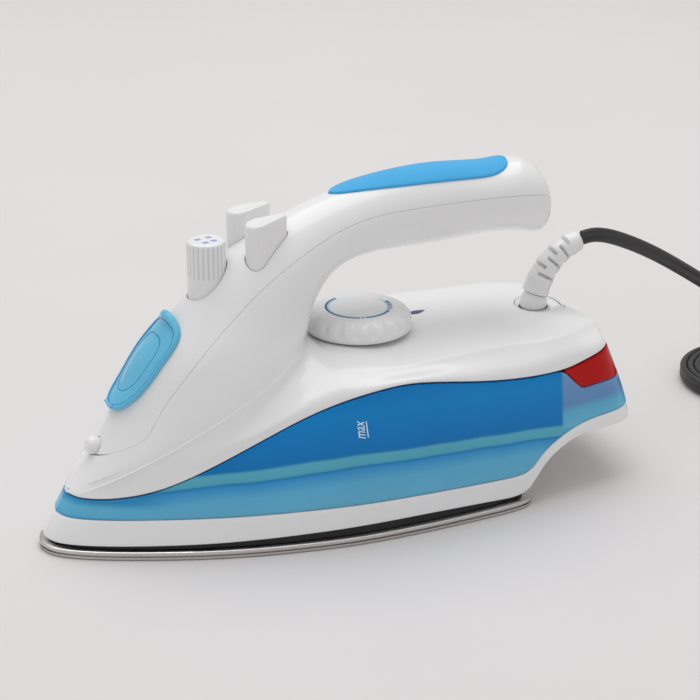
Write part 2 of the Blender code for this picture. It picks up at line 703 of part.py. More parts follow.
def make_body():
    deck = list(np.linspace(0, 3, 6)) + [4, 5, 6, 6.7, 7.4, 8, 8.5, 9, 9.5, 10, 10.8]
    rise = [NOSE_RIB, 12.5, SEAM_START]
    handle = [SEAM_START + 0.12, SEAM_START + 0.25, SEAM_START + 0.5, 13.9, 14.5, 15.1, 15.8, 16.5,
              17.3, 18, 19, 20, 21, 22, 22.5, 23, 23.5, 24, 24.6, 25.2, 25.6, 26, 26.5, LAST_RIB]
    places = deck + rise + handle
    outer = body_grid(places, body_low, body_top, 7, 0)
    inner = body_grid(places, body_low, body_top, 7, WALL)
    body = add("body_shell", half_shell(outer, inner), (WHITE, 0.25))
    cut(body, upright("dial_shaft_cutter", DIAL_X, 0, 3.5, 70, 85),
        upright("swivel_cutter", SOCKET_X, 0, 12.5, 66, 85, sides=28),
        nozzle_cutter("body_nozzle_cutter"))
    outer = body_grid(handle, cover_low, ridge, 4, 0)
    inner = body_grid(handle, cover_low, ridge, 4, WALL)
    cover = add("top_cover", half_shell(outer, inner), (WHITE, 0.25))
    cut(cover, upright("knob_cutter", KNOB_X, 0, KNOB_RADIUS + 0.4, 90, 150, sides=32),
        nozzle_cutter("cover_nozzle_cutter"), port_cutter(),
        *(add(f"button_cutter_{k}", button_shape(side, 0.4, 90, None), None)
          for k, side in enumerate((-1, 1))))


def nozzle_cutter(name):
    return add(name, turned([(4.7, -12), (4.7, 12)], NOZZLE, NOZZLE_AXIS, 16), None)


def port_cutter():
    return add("port_cutter", turned([(8.4, -14), (8.4, 14)], PORT, PORT_AXIS, 20), None)


# ---------------------------------------------------------------- front fittings

RIDGE_US = np.linspace(NOSE_RIB, NOSE_RIB + 6, 61)
RIDGE = np.array([rib_ridge(u) for u in RIDGE_US])
RIDGE_RUN = np.concatenate([[0], np.cumsum(np.linalg.norm(np.diff(RIDGE, axis=0), axis=1))])
ridge_u = spline(RIDGE_RUN, RIDGE_US)
RIDGE_MIDDLE = float(np.interp(CAP_MIDDLE_Z, RIDGE[:, 1], RIDGE_RUN))


def ridge_patch(s, t, height):
    """Point above the ridge: s along it from the filler cover's middle, t round it, height above."""
    u = float(ridge_u(s + RIDGE_MIDDLE)[0])
    width = np.linalg.norm(body_point(u, 1) - body_point(u, 0.9))
    v = 1 - 0.1 * abs(t) / width
    point = body_point(u, v) + body_normal(u, v) * height
    return point * (1, 1 if t <= 0 else -1, 1)


def cap_height(share, s, t):
    """The cap's top above the ridge: a low dome with a knuckle over the pin."""
    dome = 0.6 + 2.4 * (1 - share**6)
    knuckle = 3.6 * math.exp(-(((s + CAP_LENGTH * 0.93) / 3.6) ** 2)) if abs(t) < 8 else 0
    return dome + knuckle


def make_filler():
    """The hinged cap over the filler port, its pin and the funnel that leads down to the tank."""
    hinge = ridge_patch(-CAP_LENGTH * 0.93, 0, HINGE_HEIGHT)
    segments = 24
    top, under = [], []
    for share in (1.0, 0.86, 0.6, 0.3, 0.02):
        rows = ([], [])
        for i in range(segments):
            angle = 2 * math.pi * i / segments
            s, t = CAP_LENGTH * share * math.cos(angle), CAP_WIDTH * share * math.sin(angle)
            high = cap_height(share, s, t)
            rows[0].append(ridge_patch(s, t, high))
            floor = 1.5 if s < -0.8 * CAP_LENGTH else 0.4
            rows[1].append(ridge_patch(s, t, max(high - 1.8, floor) if share < 0.86 else floor))
        top.append(rows[0])
        under.append(rows[1])
    cap = add("filler_cover", rings_mesh(top[::-1] + under), (PALE_BLUE, 0.15, 0.0, 0.7), hinge)
    cut(cap, add("cap_pin_cutter", turned([(1.3, -9), (1.3, 9)], hinge, (0, 1, 0), 12), None))
    add("filler_cover_pin", turned([(1.0, -7), (1.0, 7)], hinge, (0, 1, 0), 12), (STEEL, 0.3, 1.0))
    route = along([(-90.5, 0, 78.4), (-86.4, 0, 72), (-82.4, 0, 62), (-79.6, 0, 48), (FUNNEL_X, 0, 35.5)])
    add("filler_funnel", pipe(route(np.linspace(0, 1, 6)), 6.9, 14, 5.9), (WHITE, 0.4))
    return hinge


def make_knob():
    """The steam knob, its lifting rod and the seat that the rod closes."""
    ribs = 18

    def wave(k, i):
        return -0.7 if k in (4, 5) and i % 2 else 0

    profile = [(2.6, 112), (2.6, 104), (8.0, 104), (KNOB_RADIUS, 105), (KNOB_RADIUS, 118.5),
               (KNOB_RADIUS, 132.6), (KNOB_RADIUS - 1.2, 133.8), (1.5, 134.2)]
    add("steam_knob", turned(profile, segments=ribs * 2, wave=wave, centre=(KNOB_X, 0, 0)),
        (WHITE, 0.35), (KNOB_X, 0, 104))
    add("steam_valve_rod", turned([(0.8, 14.6), (2.0, 19), (2.0, 107.5), (1.2, 108.5)],
                                  (KNOB_X, 0, 0), segments=12), (BRASS, 0.3, 1.0), (KNOB_X, 0, 60))
    add("steam_valve_seat", turned([(4.0, 13.6), (4.0, 22), (2.4, 22), (2.4, 18.5), (1.2, 14.6),
                                    (1.2, 13.6), (4.0, 13.6)], (KNOB_X, 0, 0), segments=16),
        (BRASS, 0.3, 1.0))


def button_shape(side, extra, low, high):
    """A teardrop button, blunt in front and pointed behind, with a sloping top."""
    front, back, radius = BUTTON_FRONT, BUTTON_BACK, BUTTON_RADIUS + extra
    outline = []
    for angle in np.linspace(math.radians(75), math.radians(285), 11):
        outline.append((front + radius * math.cos(angle), radius * math.sin(angle)))
    for angle in np.linspace(math.radians(-70), math.radians(70), 5):
        tip = 2.2 + extra
        outline.append((back + tip * math.cos(angle), tip * math.sin(angle)))
    points = [(x, y + side * (BUTTON_Y - 0.08 * (x - front))) for x, y in outline]
    if high is None:
        rings = [[(x, y, z) for x, y in points] for z in (low, 160)]
        return rings_mesh(rings)
    middle_x = sum(x for x, _ in points) / len(points)
    middle_y = sum(y for _, y in points) / len(points)
    rings = []
    for share, drop in ((0.58, None), (0.74, 15.5), (1, 9.0), (1, 1.0), (0.93, 0.25), (0.84, 0.0)):
        rings.append([(middle_x + (x - middle_x) * share, middle_y + (y - middle_y) * share,
                       low if drop is None else high + (x - front) * 0.14 - drop)
                      for x, y in points])
    return rings_mesh(rings)


def make_buttons():
    """The spray and burst buttons, each with its spring, piston and pump body."""
    for side, name in ((-1, "spray"), (1, "burst")):
        centre = (PUMP_X, side * BUTTON_Y, 0)
        rest = (PUMP_X, side * BUTTON_Y, BUTTON_FOOT)
        add(f"{name}_button", button_shape(side, 0, BUTTON_FOOT, 142.4), (WHITE, 0.3), rest)
        turns, spring_radius = 4, 4.6
        coil = []
        for i in range(turns * 8 + 1):
            angle = 2 * math.pi * i / 8
            rise = 101.2 + (BUTTON_FOOT - 102.1) * i / (turns * 8)
            coil.append((centre[0] + spring_radius * math.cos(angle),
                         centre[1] + spring_radius * math.sin(angle), rise))
        add(f"{name}_button_spring", pipe(coil, 0.5, 4), (STEEL, 0.3, 1.0))
        add(f"{name}_piston", turned([(4.8, 84), (4.8, 90), (2.5, 90),
                                      (2.5, BUTTON_FOOT - GAP)], centre, segments=16), (GREY, 0.4), rest)
        cup = [(6.6, 74), (6.6, 100), (5.2, 100), (5.2, 76), (1.0, 75.9)]
        add(f"{name}_pump_body", turned(cup, centre, segments=18), (WHITE, 0.4))


def make_nozzle():
    profile = [(1.2, -7.0), (4.2, -7.0), (4.2, 1.0), (3.9, 2.6), (2.8, 3.9), (1.0, 4.4)]
    add("spray_nozzle", turned(profile, NOZZLE, NOZZLE_AXIS, 16), (WHITE, 0.3))
    behind = np.array(NOZZLE) - unit(NOZZLE_AXIS) * 8.0
    route = along([(PUMP_X, -BUTTON_Y, 73.6), (PUMP_X - 1, -BUTTON_Y - 0.3, 68), (-52, -14, 62.5),
                   (-70, -14.5, 56), (-86, -11, 48), (-97, -5, 42), (-103, -1, 40.4), tuple(behind)])
    add("spray_hose", pipe(route(np.linspace(0, 1, 16)), 1.7, 6), (GREY, 0.4, 0.0, 0.7))


# ---------------------------------------------------------------- dial and thermostat


def make_thermostat():
    lobes = 20

    def wave(k, i):
        if k not in (3, 4, 5):
            return 0
        return 0.8 if i % 2 else -0.1

    profile = [(1.0, 80.9), (22.0, 80.9), (24.0, 81.7), (24.6, 83.2), (24.4, 86), (23.2, 88.6),
               (20.0, 90.4), (17.0, 91.0), (1.0, 90.6)]
    add("thermostat_dial", turned(profile, (DIAL_X, 0, 0), segments=lobes * 2, wave=wave),
        (WHITE, 0.35), (DIAL_X, 0, 80))
    add("dial_spindle", turned([(2.9, 35.4), (2.9, 80.6)], (DIAL_X, 0, 0), segments=12),
        (STEEL, 0.3, 1.0), (DIAL_X, 0, 80))
    add("thermostat", block((DIAL_X - 10, -7, 14.6), (DIAL_X + 10, 7, 35.0)), (GREY, 0.5, 0.6),
        smooth=False)


# ---------------------------------------------------------------- grip


def make_grip():
    """The soft pad let into the top of the handle, lying just above the cover."""
    outline = along([(0, 0), (4, 4.4), (22, 10.2), (48, 13.2), (72, 13.0), (84, 10.4), (89, 5.4),
                     (GRIP_LENGTH, 0)])
    places = outline(np.linspace(0, 1, 16))
    grids = []
    for height in (GAP + 0.9, GAP):
        rows = []
        for x, half in places:
            row = []
            for k in range(4):
                reach = half * (1 - k / 3)
                u = float(np.interp(x + GRIP_START, HANDLE_X, HANDLE_U))
                width = np.linalg.norm(body_point(u, 1) - body_point(u, 0.96))
                v = 1 - 0.04 * reach / width
                edge = 0.4 if k == 0 and height > GAP else 0
                row.append(body_point(u, v) + body_normal(u, v) * (height - edge))
            rows.append(row)
        grids.append(np.array(rows))
    add("grip_insert", half_shell(*grids), (PALE_BLUE, 0.6))


HANDLE_U = np.linspace(18, 25, 71)
HANDLE_X = np.array([rib_ridge(u)[0] for u in HANDLE_U])


# ---------------------------------------------------------------- wiring


def make_wiring():
    add("terminal_block", block((105, -16, 46), (119, 16, 56)), (WHITE, 0.5), smooth=False)
    add("thermal_fuse", turned([(2.0, -8), (2.0, 8)], (124, 0, 45), (0, 1, 0), 12), (GREY, 0.4, 1))
    lamp = turned([(2.5, 0), (3.0, 2), (3.0, 10), (1.0, 13)], (112, -33, 47), (0.2, 0, 0.98), 12)
    add("pilot_lamp", lamp, ((0.9, 0.5, 0.3), 0.1))
    for side, name in SIDES:
        route = along([(64.6, side * 29.7, 11.4), (72, side * 30, 11.4), (77, side * 29, 15),
                       (84, side * 25, 22.3), (90, side * 20.5, 27.2), (96, side * 15, 30.2),
                       (101, side * 9, 31.9), (105.5, side * 5, 33.2), (109.5, side * 4, 37.5),
                       (110.5, side * 4, 45.6)])
        add(f"heater_lead_{name}", pipe(route(np.linspace(0, 1, 20)), 1.1, 5), (SLEEVE, 0.7))
        route = along([(108, side * 9, 56.4), (106, side * 9.5, 64), (98, side * 9.5, 70),
                       (60, side * 9, 72.5), (34, side * 8.5, 72.5), (21, side * 7.8, 68.5),
                       (16, side * 7.5, 58), (15, side * 5.5, 35.5)])
        add(f"thermostat_lead_{name}", pipe(route(np.linspace(0, 1, 18)), 1.1, 5), (SLEEVE, 0.7))


def make_swivel():
    """The cord's ball joint on the deck and the ribbed guard that grows out of it."""
    ring = [(9.9, -0.8), (12.0, -0.4), (12.2, 0.9), (11.4, 1.6), (10.4, 1.0), (9.9, -0.8)]
    collar = turned(ring, (SOCKET_X, 0, 76.2), (0.11, 0, 0.99), 28)
    add("swivel_collar", collar, (WHITE, 0.3))
    cup = [(8.0, 76.0), (8.6, 73.0), (8.6, 67.6), (2.4, 67.6), (2.4, 69.2), (5.2, 69.6), (6.9, 73.4),
           (7.2, 76.0), (8.0, 76.0)]
    add("swivel_socket", turned(cup, (BALL[0], 0, 0), segments=16), (WHITE, 0.4))
    ball = [(BALL_RADIUS * math.sin(a), -BALL_RADIUS * math.cos(a))
            for a in np.linspace(0.15, 2.2, 8)]
    add("cord_swivel_ball", turned(ball, BALL, GUARD_START_AXIS, 16), (WHITE, 0.3), BALL)
    guard = along(GUARD_ROUTE)(np.linspace(0, 1, 17))
    radii = [np.interp(k, [0, 16], GUARD_RADII) - (0.9 if k in (3, 6, 9, 12) else 0)
             for k in range(17)]
    add("cord_guard", pipe(guard, radii, 12), (WHITE, 0.4), BALL)


# ---------------------------------------------------------------- cord


def cord_tube(name, route, count):
    """Round bar along the cord's route, as a curve with filled ends."""
    curve = bpy.data.curves.new(name, "CURVE")
    curve.dimensions = "3D"
    curve.bevel_depth = CORD_WIDTH / 2 * MM
    curve.bevel_resolution = 2
    curve.use_fill_caps = True
    line = curve.splines.new("POLY")
    points = along(route)(np.linspace(0, 1, count))
    line.points.add(count - 1)
    for target, point in zip(line.points, points):
        target.co = (*(point * MM), 1)
    curve.materials.append(material(name, BLACK, 0.5))
    bpy.context.scene.collection.objects.link(bpy.data.objects.new(name, curve))


def racetrack(radius, z, count=14):
    """Outline of the hank: two half circles joined by straight runs."""
    points = []
    for centre, start in ((HANK_RIGHT, -math.pi / 2), (HANK_LEFT, math.pi / 2)):
        for angle in np.linspace(start, start + math.pi, count):
            points.append((centre + radius * math.cos(angle), HANK_Y + radius * math.sin(angle), z))
    return points


def make_cord():
    cord_tube("cord", CORD_ROUTE, 14)
    cord_tube("cord_tail", TAIL_ROUTE, 6)
    inside = INNER_TURN - TURN_PITCH / 2
    outside = INNER_TURN + TURN_PITCH * (TURNS - 0.5)
    low, high = HANK_Z - CORD_WIDTH / 2, HANK_Z + CORD_WIDTH / 2
    rings = [racetrack(r, z) for r, z in ((inside, low), (outside, low), (outside, high),
                                          (inside, high))]
    add("cord_hank", rings_mesh(rings, loop=True), (BLACK, 0.5))
    for x, side, name in ((277, 1, "front"), (315, -1, "rear")):
        near, far = HANK_Y + side * (inside - 0.4), HANK_Y + side * (outside + 0.4)
        loops = []
        for grow in (0.0, 0.9):
            y0, y1 = near - side * grow, far + side * grow
            z0, z1 = low - 0.3 - grow, high + 0.3 + grow
            loops.append([(y0, z0), (y1, z0), (y1, z1), (y0, z1)])
        rings = []
        for k, shift in ((0, -0.5), (1, -0.5), (1, 0.5), (0, 0.5)):
            rings.append([(x + TIE_WIDTH * shift, y, z) for y, z in loops[k]])
        add(f"cord_tie_{name}", rings_mesh(rings, loop=True), (BLACK, 0.7), smooth=False)
    outline = [(41, 4.5, 4.0), (36, 5.2, 4.6), (27, 7.5, 6.0), (19, 11, 7.2), (3, 12.5, 7.6),
               (0, 12.0, 7.2)]
    rings = []
    for behind, half, thick in outline:
        ring = []
        for angle in np.linspace(0, 2 * math.pi, 16, endpoint=False):
            across = math.copysign(abs(math.cos(angle)) ** 0.6, math.cos(angle))
            up = math.copysign(abs(math.sin(angle)) ** 0.6, math.sin(angle))
            ring.append((PLUG_FRONT + behind, HANK_Y + half * across, PLUG_Z + thick * up))
        rings.append(ring)
    add("plug_body", rings_mesh(rings), (BLACK, 0.5))
    for side, name in SIDES:
        y = HANK_Y + side * PIN_SPACING / 2
        blade = block((PLUG_FRONT - 17.5, y - 0.75, PLUG_Z - 3.2),
                      (PLUG_FRONT - GAP, y + 0.75, PLUG_Z + 3.2))
        add(f"plug_blade_{name}", blade, (BRASS, 0.3, 1.0), smooth=False)


def main():
    for made in list(bpy.data.objects):
        bpy.data.objects.remove(made, do_unlink=True)
    make_sole()
    make_heater()
    make_skirt()
    make_heel_cover()
    make_tank()
    make_body()
    make_filler()
    make_knob()
    make_buttons()
    make_nozzle()
    make_thermostat()
    make_grip()
    make_wiring()
    make_swivel()
    make_cord()


main()
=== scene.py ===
"""The clothes iron's looks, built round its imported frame."""

import math

import bmesh
import bpy
import numpy as np
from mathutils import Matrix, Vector


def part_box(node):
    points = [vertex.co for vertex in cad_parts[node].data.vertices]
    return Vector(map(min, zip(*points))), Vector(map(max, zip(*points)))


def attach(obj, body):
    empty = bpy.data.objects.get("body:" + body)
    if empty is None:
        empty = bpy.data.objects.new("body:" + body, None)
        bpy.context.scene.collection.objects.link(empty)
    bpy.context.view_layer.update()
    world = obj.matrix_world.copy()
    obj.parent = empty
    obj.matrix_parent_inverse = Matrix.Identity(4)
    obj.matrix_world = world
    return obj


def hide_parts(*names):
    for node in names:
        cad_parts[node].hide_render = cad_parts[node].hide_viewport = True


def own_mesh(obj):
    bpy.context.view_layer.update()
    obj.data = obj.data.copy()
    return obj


MM = 0.001
SEAM_GAP = 0.1
WALL = 2.2
HULL_LENGTH = 288.0
NOSE_X = -144.0
NOZZLE_AT, NOZZLE_AXIS, NOZZLE_HOLE = (-116.5, 0, 45.5), (-0.9, 0, 0.43), 4.55
BUTTON_FRONT, BUTTON_BACK, BUTTON_SIDE, BUTTON_TOP = -40.8, -28.6, 10.6, 142.4
BUTTON_ROUND, BUTTON_TIP, BUTTON_TRAVEL = 5.7, 2.2, 5.0
BALL_X, BALL_Z, BALL_RADIUS = 106.0, 78.6, 6.6
LIFT_LOW, LIFT_HIGH = 0.15, -0.35  # how far a wall of the hull stands clear of its edge curves

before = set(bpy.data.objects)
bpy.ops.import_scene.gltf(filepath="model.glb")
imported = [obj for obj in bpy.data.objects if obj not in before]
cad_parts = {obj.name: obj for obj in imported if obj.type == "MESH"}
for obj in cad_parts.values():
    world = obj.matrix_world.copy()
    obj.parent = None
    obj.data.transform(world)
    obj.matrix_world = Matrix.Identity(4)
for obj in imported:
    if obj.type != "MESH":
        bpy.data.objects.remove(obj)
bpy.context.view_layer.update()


def box_mm(node):
    """A CAD node's lowest and highest corners, in millimetres."""
    return [np.array(corner, float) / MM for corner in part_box(node)]


def middle_mm(node):
    low, high = box_mm(node)
    return (low + high) / 2


# ---- curves


def spline(knots, values):
    """Smooth curve through values at knots, with no bend at its ends."""
    knots = np.asarray(knots, float)
    values = np.asarray(values, float)
    if values.ndim == 1:
        values = values[:, None]
    count = len(knots)
    step = np.diff(knots)
    matrix = np.eye(count)
    right = np.zeros((count, values.shape[1]))
    for i in range(1, count - 1):
        matrix[i, i - 1 : i + 2] = step[i - 1], 2 * (step[i - 1] + step[i]), step[i]
        slope_after = (values[i + 1] - values[i]) / step[i]
        slope_before = (values[i] - values[i - 1]) / step[i - 1]
        right[i] = 6 * (slope_after - slope_before)
    bend = np.linalg.solve(matrix, right)

    def at(place):
        place = np.clip(np.asarray(place, float), knots[0], knots[-1])
        i = np.clip(np.searchsorted(knots, place, side="right") - 1, 0, count - 2)
        before = ((knots[i + 1] - place) / step[i])[..., None]
        after = ((place - knots[i]) / step[i])[..., None]
        square = (step[i] ** 2)[..., None] / 6
        cubic = (before**3 - before) * bend[i] + (after**3 - after) * bend[i + 1]
        return before * values[i] + after * values[i + 1] + cubic * square

    return at


def travelled(points):
    """Distance along a path at each of its points."""
    return np.concatenate([[0], np.cumsum(np.linalg.norm(np.diff(points, axis=0), axis=1))])


def along(points):
    """Smooth curve through points, run from 0 to 1 by distance."""
    points = np.asarray(points, float)
    distance = travelled(points)
    return spline(distance / distance[-1], points)


def unit(vector):
    vector = np.asarray(vector, float)
    return vector / np.maximum(np.linalg.norm(vector, axis=-1, keepdims=True), 1e-12)


def smooth(value):
    """A step from 0 to 1 that starts and ends level."""
    value = np.clip(value, 0, 1)
    return value * value * (3 - 2 * value)


def circle(count):
    """Angles of evenly spaced points once round."""
    return np.linspace(0, 2 * math.pi, count, endpoint=False)


# ---- hull

# Half of the hull's plan at the sole: (x, half width) from the nose to the middle of the transom.
PLAN = [(-144, 0), (-141.5, 8), (-136.5, 13.5), (-128, 19.5), (-110, 29), (-92, 37), (-74, 43.8),
        (-54, 49.7), (-35, 54), (-17, 57), (5, 58.7), (27, 59), (48, 58.5), (69, 57), (95, 54),
        (118, 50.5), (130, 47.6), (137, 42.5), (140.6, 34), (143, 18), (144, 0)]
NOSE_RAKE = spline([0, 8, 17, 26, 35, 43, 53, 66, 80],
                   [-144, -141.5, -136.5, -131, -126, -121, -115, -107, -99])
REAR_RAKE = spline([0, 27, 50, 80], [144, 144, 137, 124])
NARROWING = spline([0, 8, 20, 45, 70, 80], [1, 0.972, 0.962, 0.945, 0.905, 0.885])

# Heights along the hull: the skirt's lower edge, the tank's lower edge, the tank's upper edge
# and the white body's lower edge, which parts from the tank's edge round the rear lamp.
SKIRT_EDGE = spline([-150, -90, 60, 72, 77, 82, 90, 103, 116, 150],
                    [5.6, 6.2, 6.6, 7.0, 9.6, 16, 23, 28.2, 29, 28])
TANK_FOOT = spline([-150, 60, 71, 77, 82, 90, 103, 116, 150],
                   [17, 17, 17, 19, 24, 29.5, 34.4, 36, 36])
RIM_X = [-150, -131, -122, -112, -98, -84, -70, -51, -33, -14, -1, 12, 28, 51, 69, 81, 92]
RIM_Z = [25.5, 25.5, 25.8, 27, 30.3, 36, 43, 53, 61.5, 67.7, 70.3, 71.4, 70, 66.3, 64, 63, 62.6]
TANK_RIM = spline(RIM_X + [98, 103, 110, 150], RIM_Z + [60, 54, 52, 50.5])
BODY_EDGE = spline(RIM_X + [97, 107, 116, 150], RIM_Z + [62.7, 64.1, 65.8, 68.5])

plan_curve = along(PLAN)


def reached(x_at, x, high):
    """The place, from 0 to high, where a curve whose x grows reaches x."""
    low = 0.0
    for _ in range(40):
        middle = (low + high) / 2
        if x_at(middle) < x:
            low = middle
        else:
            high = middle
    return (low + high) / 2


def plan_place(x):
    """Where along the plan its near side reaches x at the sole."""
    return reached(lambda place: plan_curve(place)[0], x, 0.8)


def hull(place, z):
    """The hull's near side: place runs from the nose to the middle of the transom."""
    flat = plan_curve(place)
    nose = NOSE_RAKE(z)[..., 0]
    rear = REAR_RAKE(z)[..., 0]
    x = nose + (flat[..., 0] - NOSE_X) / HULL_LENGTH * (rear - nose)
    return np.stack([x, -flat[..., 1] * NARROWING(z)[..., 0], z + 0 * x], -1)


def hull_edge(place, height, offset=0.0):
    """The point of the hull where it meets the curve of heights, found by a few corrections."""
    z = height(hull(place, np.asarray(40.0))[..., 0])[..., 0]
    for _ in range(8):
        z = height(hull(place, z)[..., 0])[..., 0]
    return hull(place, z + offset)


def edge_place(x):
    """Where along the plan the white body's edge reaches x."""
    return reached(lambda place: hull_edge(place, BODY_EDGE)[0], x, 0.88)


def hull_normal(place, z):
    """Outward unit normals of the hull, for one place and height or for arrays of them."""
    step = 1e-4
    across = hull(np.clip(place + step, 0, 1), z) - hull(np.clip(place - step, 0, 1), z)
    up = hull(place, z + 0.1) - hull(place, z - 0.1)
    return unit(np.cross(across, up))


# ---- upper body

# One strip runs forward along the deck, up round the finger opening and back along the handle.
# Each row is a rib across it: the outer end (a place on the hull's edge, or x and z on the ridge),
# the inner end (x, z), the rib's shoulder (distance along and out), the shoulder's slant in
# degrees, and the fullness at the inner end, before and after the shoulder, and at the outer end.
HULL_RIBS = [
    (1.000, (84, 77.0), (2.0, 37, 52), (0.5, 0.2, 0.9, 1.0)),
    (0.955, (84, 77.0), (1.8, 41, 50), (0.5, 0.17, 0.9, 1.0)),
    (0.905, (84, 77.0), (1.7, 48, 48), (0.5, 0.14, 0.9, 1.0)),
    (0.870, (84, 77.0), (1.6, 46, 47), (0.5, 0.12, 0.9, 1.0)),
    (None, (84, 77.0), (1.2, 41, 46), (0.5, 0.1, 0.9, 1.0), 84),
    (None, (50, 78.6), (1.7, 42, 46), (0.5, 0.1, 0.9, 1.0), 50),
    (None, (18, 79.4), (2.6, 44, 48), (0.5, 0.14, 0.9, 1.0), 18),
    (None, (-7, 79.8), (4.0, 42, 55), (0.6, 0.7, 1.0, 1.0), -14),
    (None, (-14, 81.6), (10, 39, 42), (0.8, 1.0, 1.0, 1.0), -38),
    (None, (-16.6, 85.5), (24, 39, 15), (0.9, 1.0, 1.0, 1.0), -66),
    (None, (-16.8, 88.5), (36, 37.5, 4), (1.0, 1.0, 0.75, 0.6), -100),
    (None, (-16.4, 91), (40, 37, 0), (1.0, 1.0, 0.65, 0.3), -128),
]
# On the ridge a rib has no slant and is full as far as its shoulder.
RIDGE_RIBS = [
    ((-131, 25.7), (-16, 93), (42, 36.5), (0.6, 0.75)),
    ((-118.5, 42), (-15, 95.5), (42, 35.5), (0.65, 0.9)),
    ((-107, 61.5), (-13.5, 98.5), (41, 33.5), (0.7, 0.85)),
    ((-95.6, 81.6), (-11, 102.5), (39, 30), (0.8, 0.82)),
    ((-78, 99.8), (-7, 108), (33, 26), (0.9, 0.88)),
    ((-57, 120), (-1, 113.6), (27, 22.5), (1.0, 0.95)),
    ((-30, 137), (9, 117.2), (21, 19.5), (1.0, 0.95)),
    ((0, 147.6), (24, 118), (19, 18), (1.0, 1.0)),
    ((27, 152.4), (40, 117.8), (18.5, 17.5), (1.0, 1.0)),
    ((54, 153.3), (58, 118), (18.5, 17.5), (1.0, 1.0)),
    ((78, 151.6), (78, 118.6), (18, 17.5), (1.0, 1.0)),
    ((92.6, 152.4), (93, 117.2), (17.5, 18), (1.0, 1.0)),
    ((101.2, 149.2), (100.6, 115.6), (17, 17.8), (1.0, 1.0)),
    ((106.0, 143), (105.2, 117.2), (13, 14.2), (1.0, 1.0)),
    ((107.9, 135.5), (107.7, 125.5), (5, 6.0), (1.0, 1.0)),
    ((108.2, 131), (108.2, 130.4), (0.3, 0.4), (1.0, 1.0)),
]
FAN_RIB = 4
NOSE_RIB = len(HULL_RIBS)
LAST_RIB = NOSE_RIB + len(RIDGE_RIBS) - 1

ALL_RIBS = HULL_RIBS + [(ridge, inner, (*shoulder, 0), (1.0, 1.0, *fullness))
                        for ridge, inner, shoulder, fullness in RIDGE_RIBS]
rib_inner = spline(range(FAN_RIB, LAST_RIB + 1), [row[1] for row in ALL_RIBS[FAN_RIB:]])
rib_shoulder = spline(range(LAST_RIB + 1), [row[2] for row in ALL_RIBS])
rib_fullness = spline(range(LAST_RIB + 1), [row[3] for row in ALL_RIBS])
EDGE_PLACES = [edge_place(row[4]) if row[0] is None else row[0] for row in HULL_RIBS] + [0.0]
rib_place = spline(range(NOSE_RIB + 1), EDGE_PLACES)
rib_ridge = spline(range(NOSE_RIB, LAST_RIB + 1), [row[0] for row in RIDGE_RIBS])

# The top cover's lower edge, as a share of the way across each rib, from the nozzle backwards.
SEAM_START = NOSE_RIB + 1.0
SEAM_FIRST_SLOPE = -4.2
seam_run = spline(
    [13, 13.38, 14.11, 14.73, 15.25, 15.83, 16.4, 16.86, 17.3, 17.81, 18.35, 18.85, 19.64, 20.28,
     21.14, 22.22, 23.2, 24.15, 25, 26, LAST_RIB],
    [0.787, 0.785, 0.762, 0.718, 0.694, 0.676, 0.649, 0.624, 0.604, 0.596, 0.606, 0.612, 0.598,
     0.580, 0.566, 0.560, 0.572, 0.590, 0.594, 0.585, 0.5])


def seam(u):
    """The top cover's lower edge: down from the nozzle, then back along the handle."""
    return seam_run(u) + 0.213 * np.exp(-(u - SEAM_START) / 0.05)


def rib(u):
    """The rib at u: four points of each of its two Bezier arcs, from the inner end to the outer."""
    inner_x, inner_z = rib_inner(u)
    inner = np.array([inner_x, 0, inner_z])
    ahead, out, slant = rib_shoulder(u)
    full = rib_fullness(u)
    if u < NOSE_RIB:
        place = float(np.clip(rib_place(u)[0], 0, 1))
        outer = hull_edge(place, BODY_EDGE, 0.5)
        normal = hull_normal(place, outer[2])
    else:
        ridge_x, ridge_z = rib_ridge(u)
        outer = np.array([ridge_x, 0, ridge_z])
        normal = None
    if u < FAN_RIB:
        down = np.array([0, 0, -1.0])
        level = outer - inner
        level[2] = 0
        side = unit(level)
    else:
        side = np.array([0, -1.0, 0])
        down = outer - inner
        down[1] = 0
        down = unit(down)
    reach = outer - inner
    end = np.array([reach @ down, reach @ side])
    leaving = np.array([0, -1.0])
    if normal is not None:
        tangent = np.cross(normal, np.cross(side, down))
        along_hull = unit(np.array([tangent @ down, tangent @ side]))
        if along_hull @ np.array([1, -0.99]) < 0:
            along_hull = -along_hull
        share = smooth((NOSE_RIB - u) / 0.9)
        leaving = unit(along_hull * share + leaving * (1 - share))
    lean = math.radians(slant)
    at_shoulder = np.array([math.cos(lean), math.sin(lean)])
    shoulder = np.array([ahead, out])
    start = np.array([0.0, 0.0])
    across = np.array([0.0, 1.0])
    quarter = 0.5523
    first = [start,
             start + across * quarter * full[0] * abs((shoulder - start) @ across),
             shoulder - at_shoulder * quarter * full[1] * abs((shoulder - start) @ at_shoulder),
             shoulder]
    second = [shoulder,
              shoulder + at_shoulder * quarter * full[2] * abs((end - shoulder) @ at_shoulder),
              end - leaving * quarter * full[3] * abs((end - shoulder) @ leaving),
              end]
    return [[inner + down * p[0] + side * p[1] for p in arc] for arc in (first, second)]


def bezier(points, t):
    a, b, c, d = points
    s = 1 - t
    return a * s**3 + 3 * b * s * s * t + 3 * c * s * t * t + d * t**3


# ---- camera, floor and light


def aim(made, target):
    made.rotation_euler = (Vector(target) - made.location).to_track_quat("-Z", "Y").to_euler()


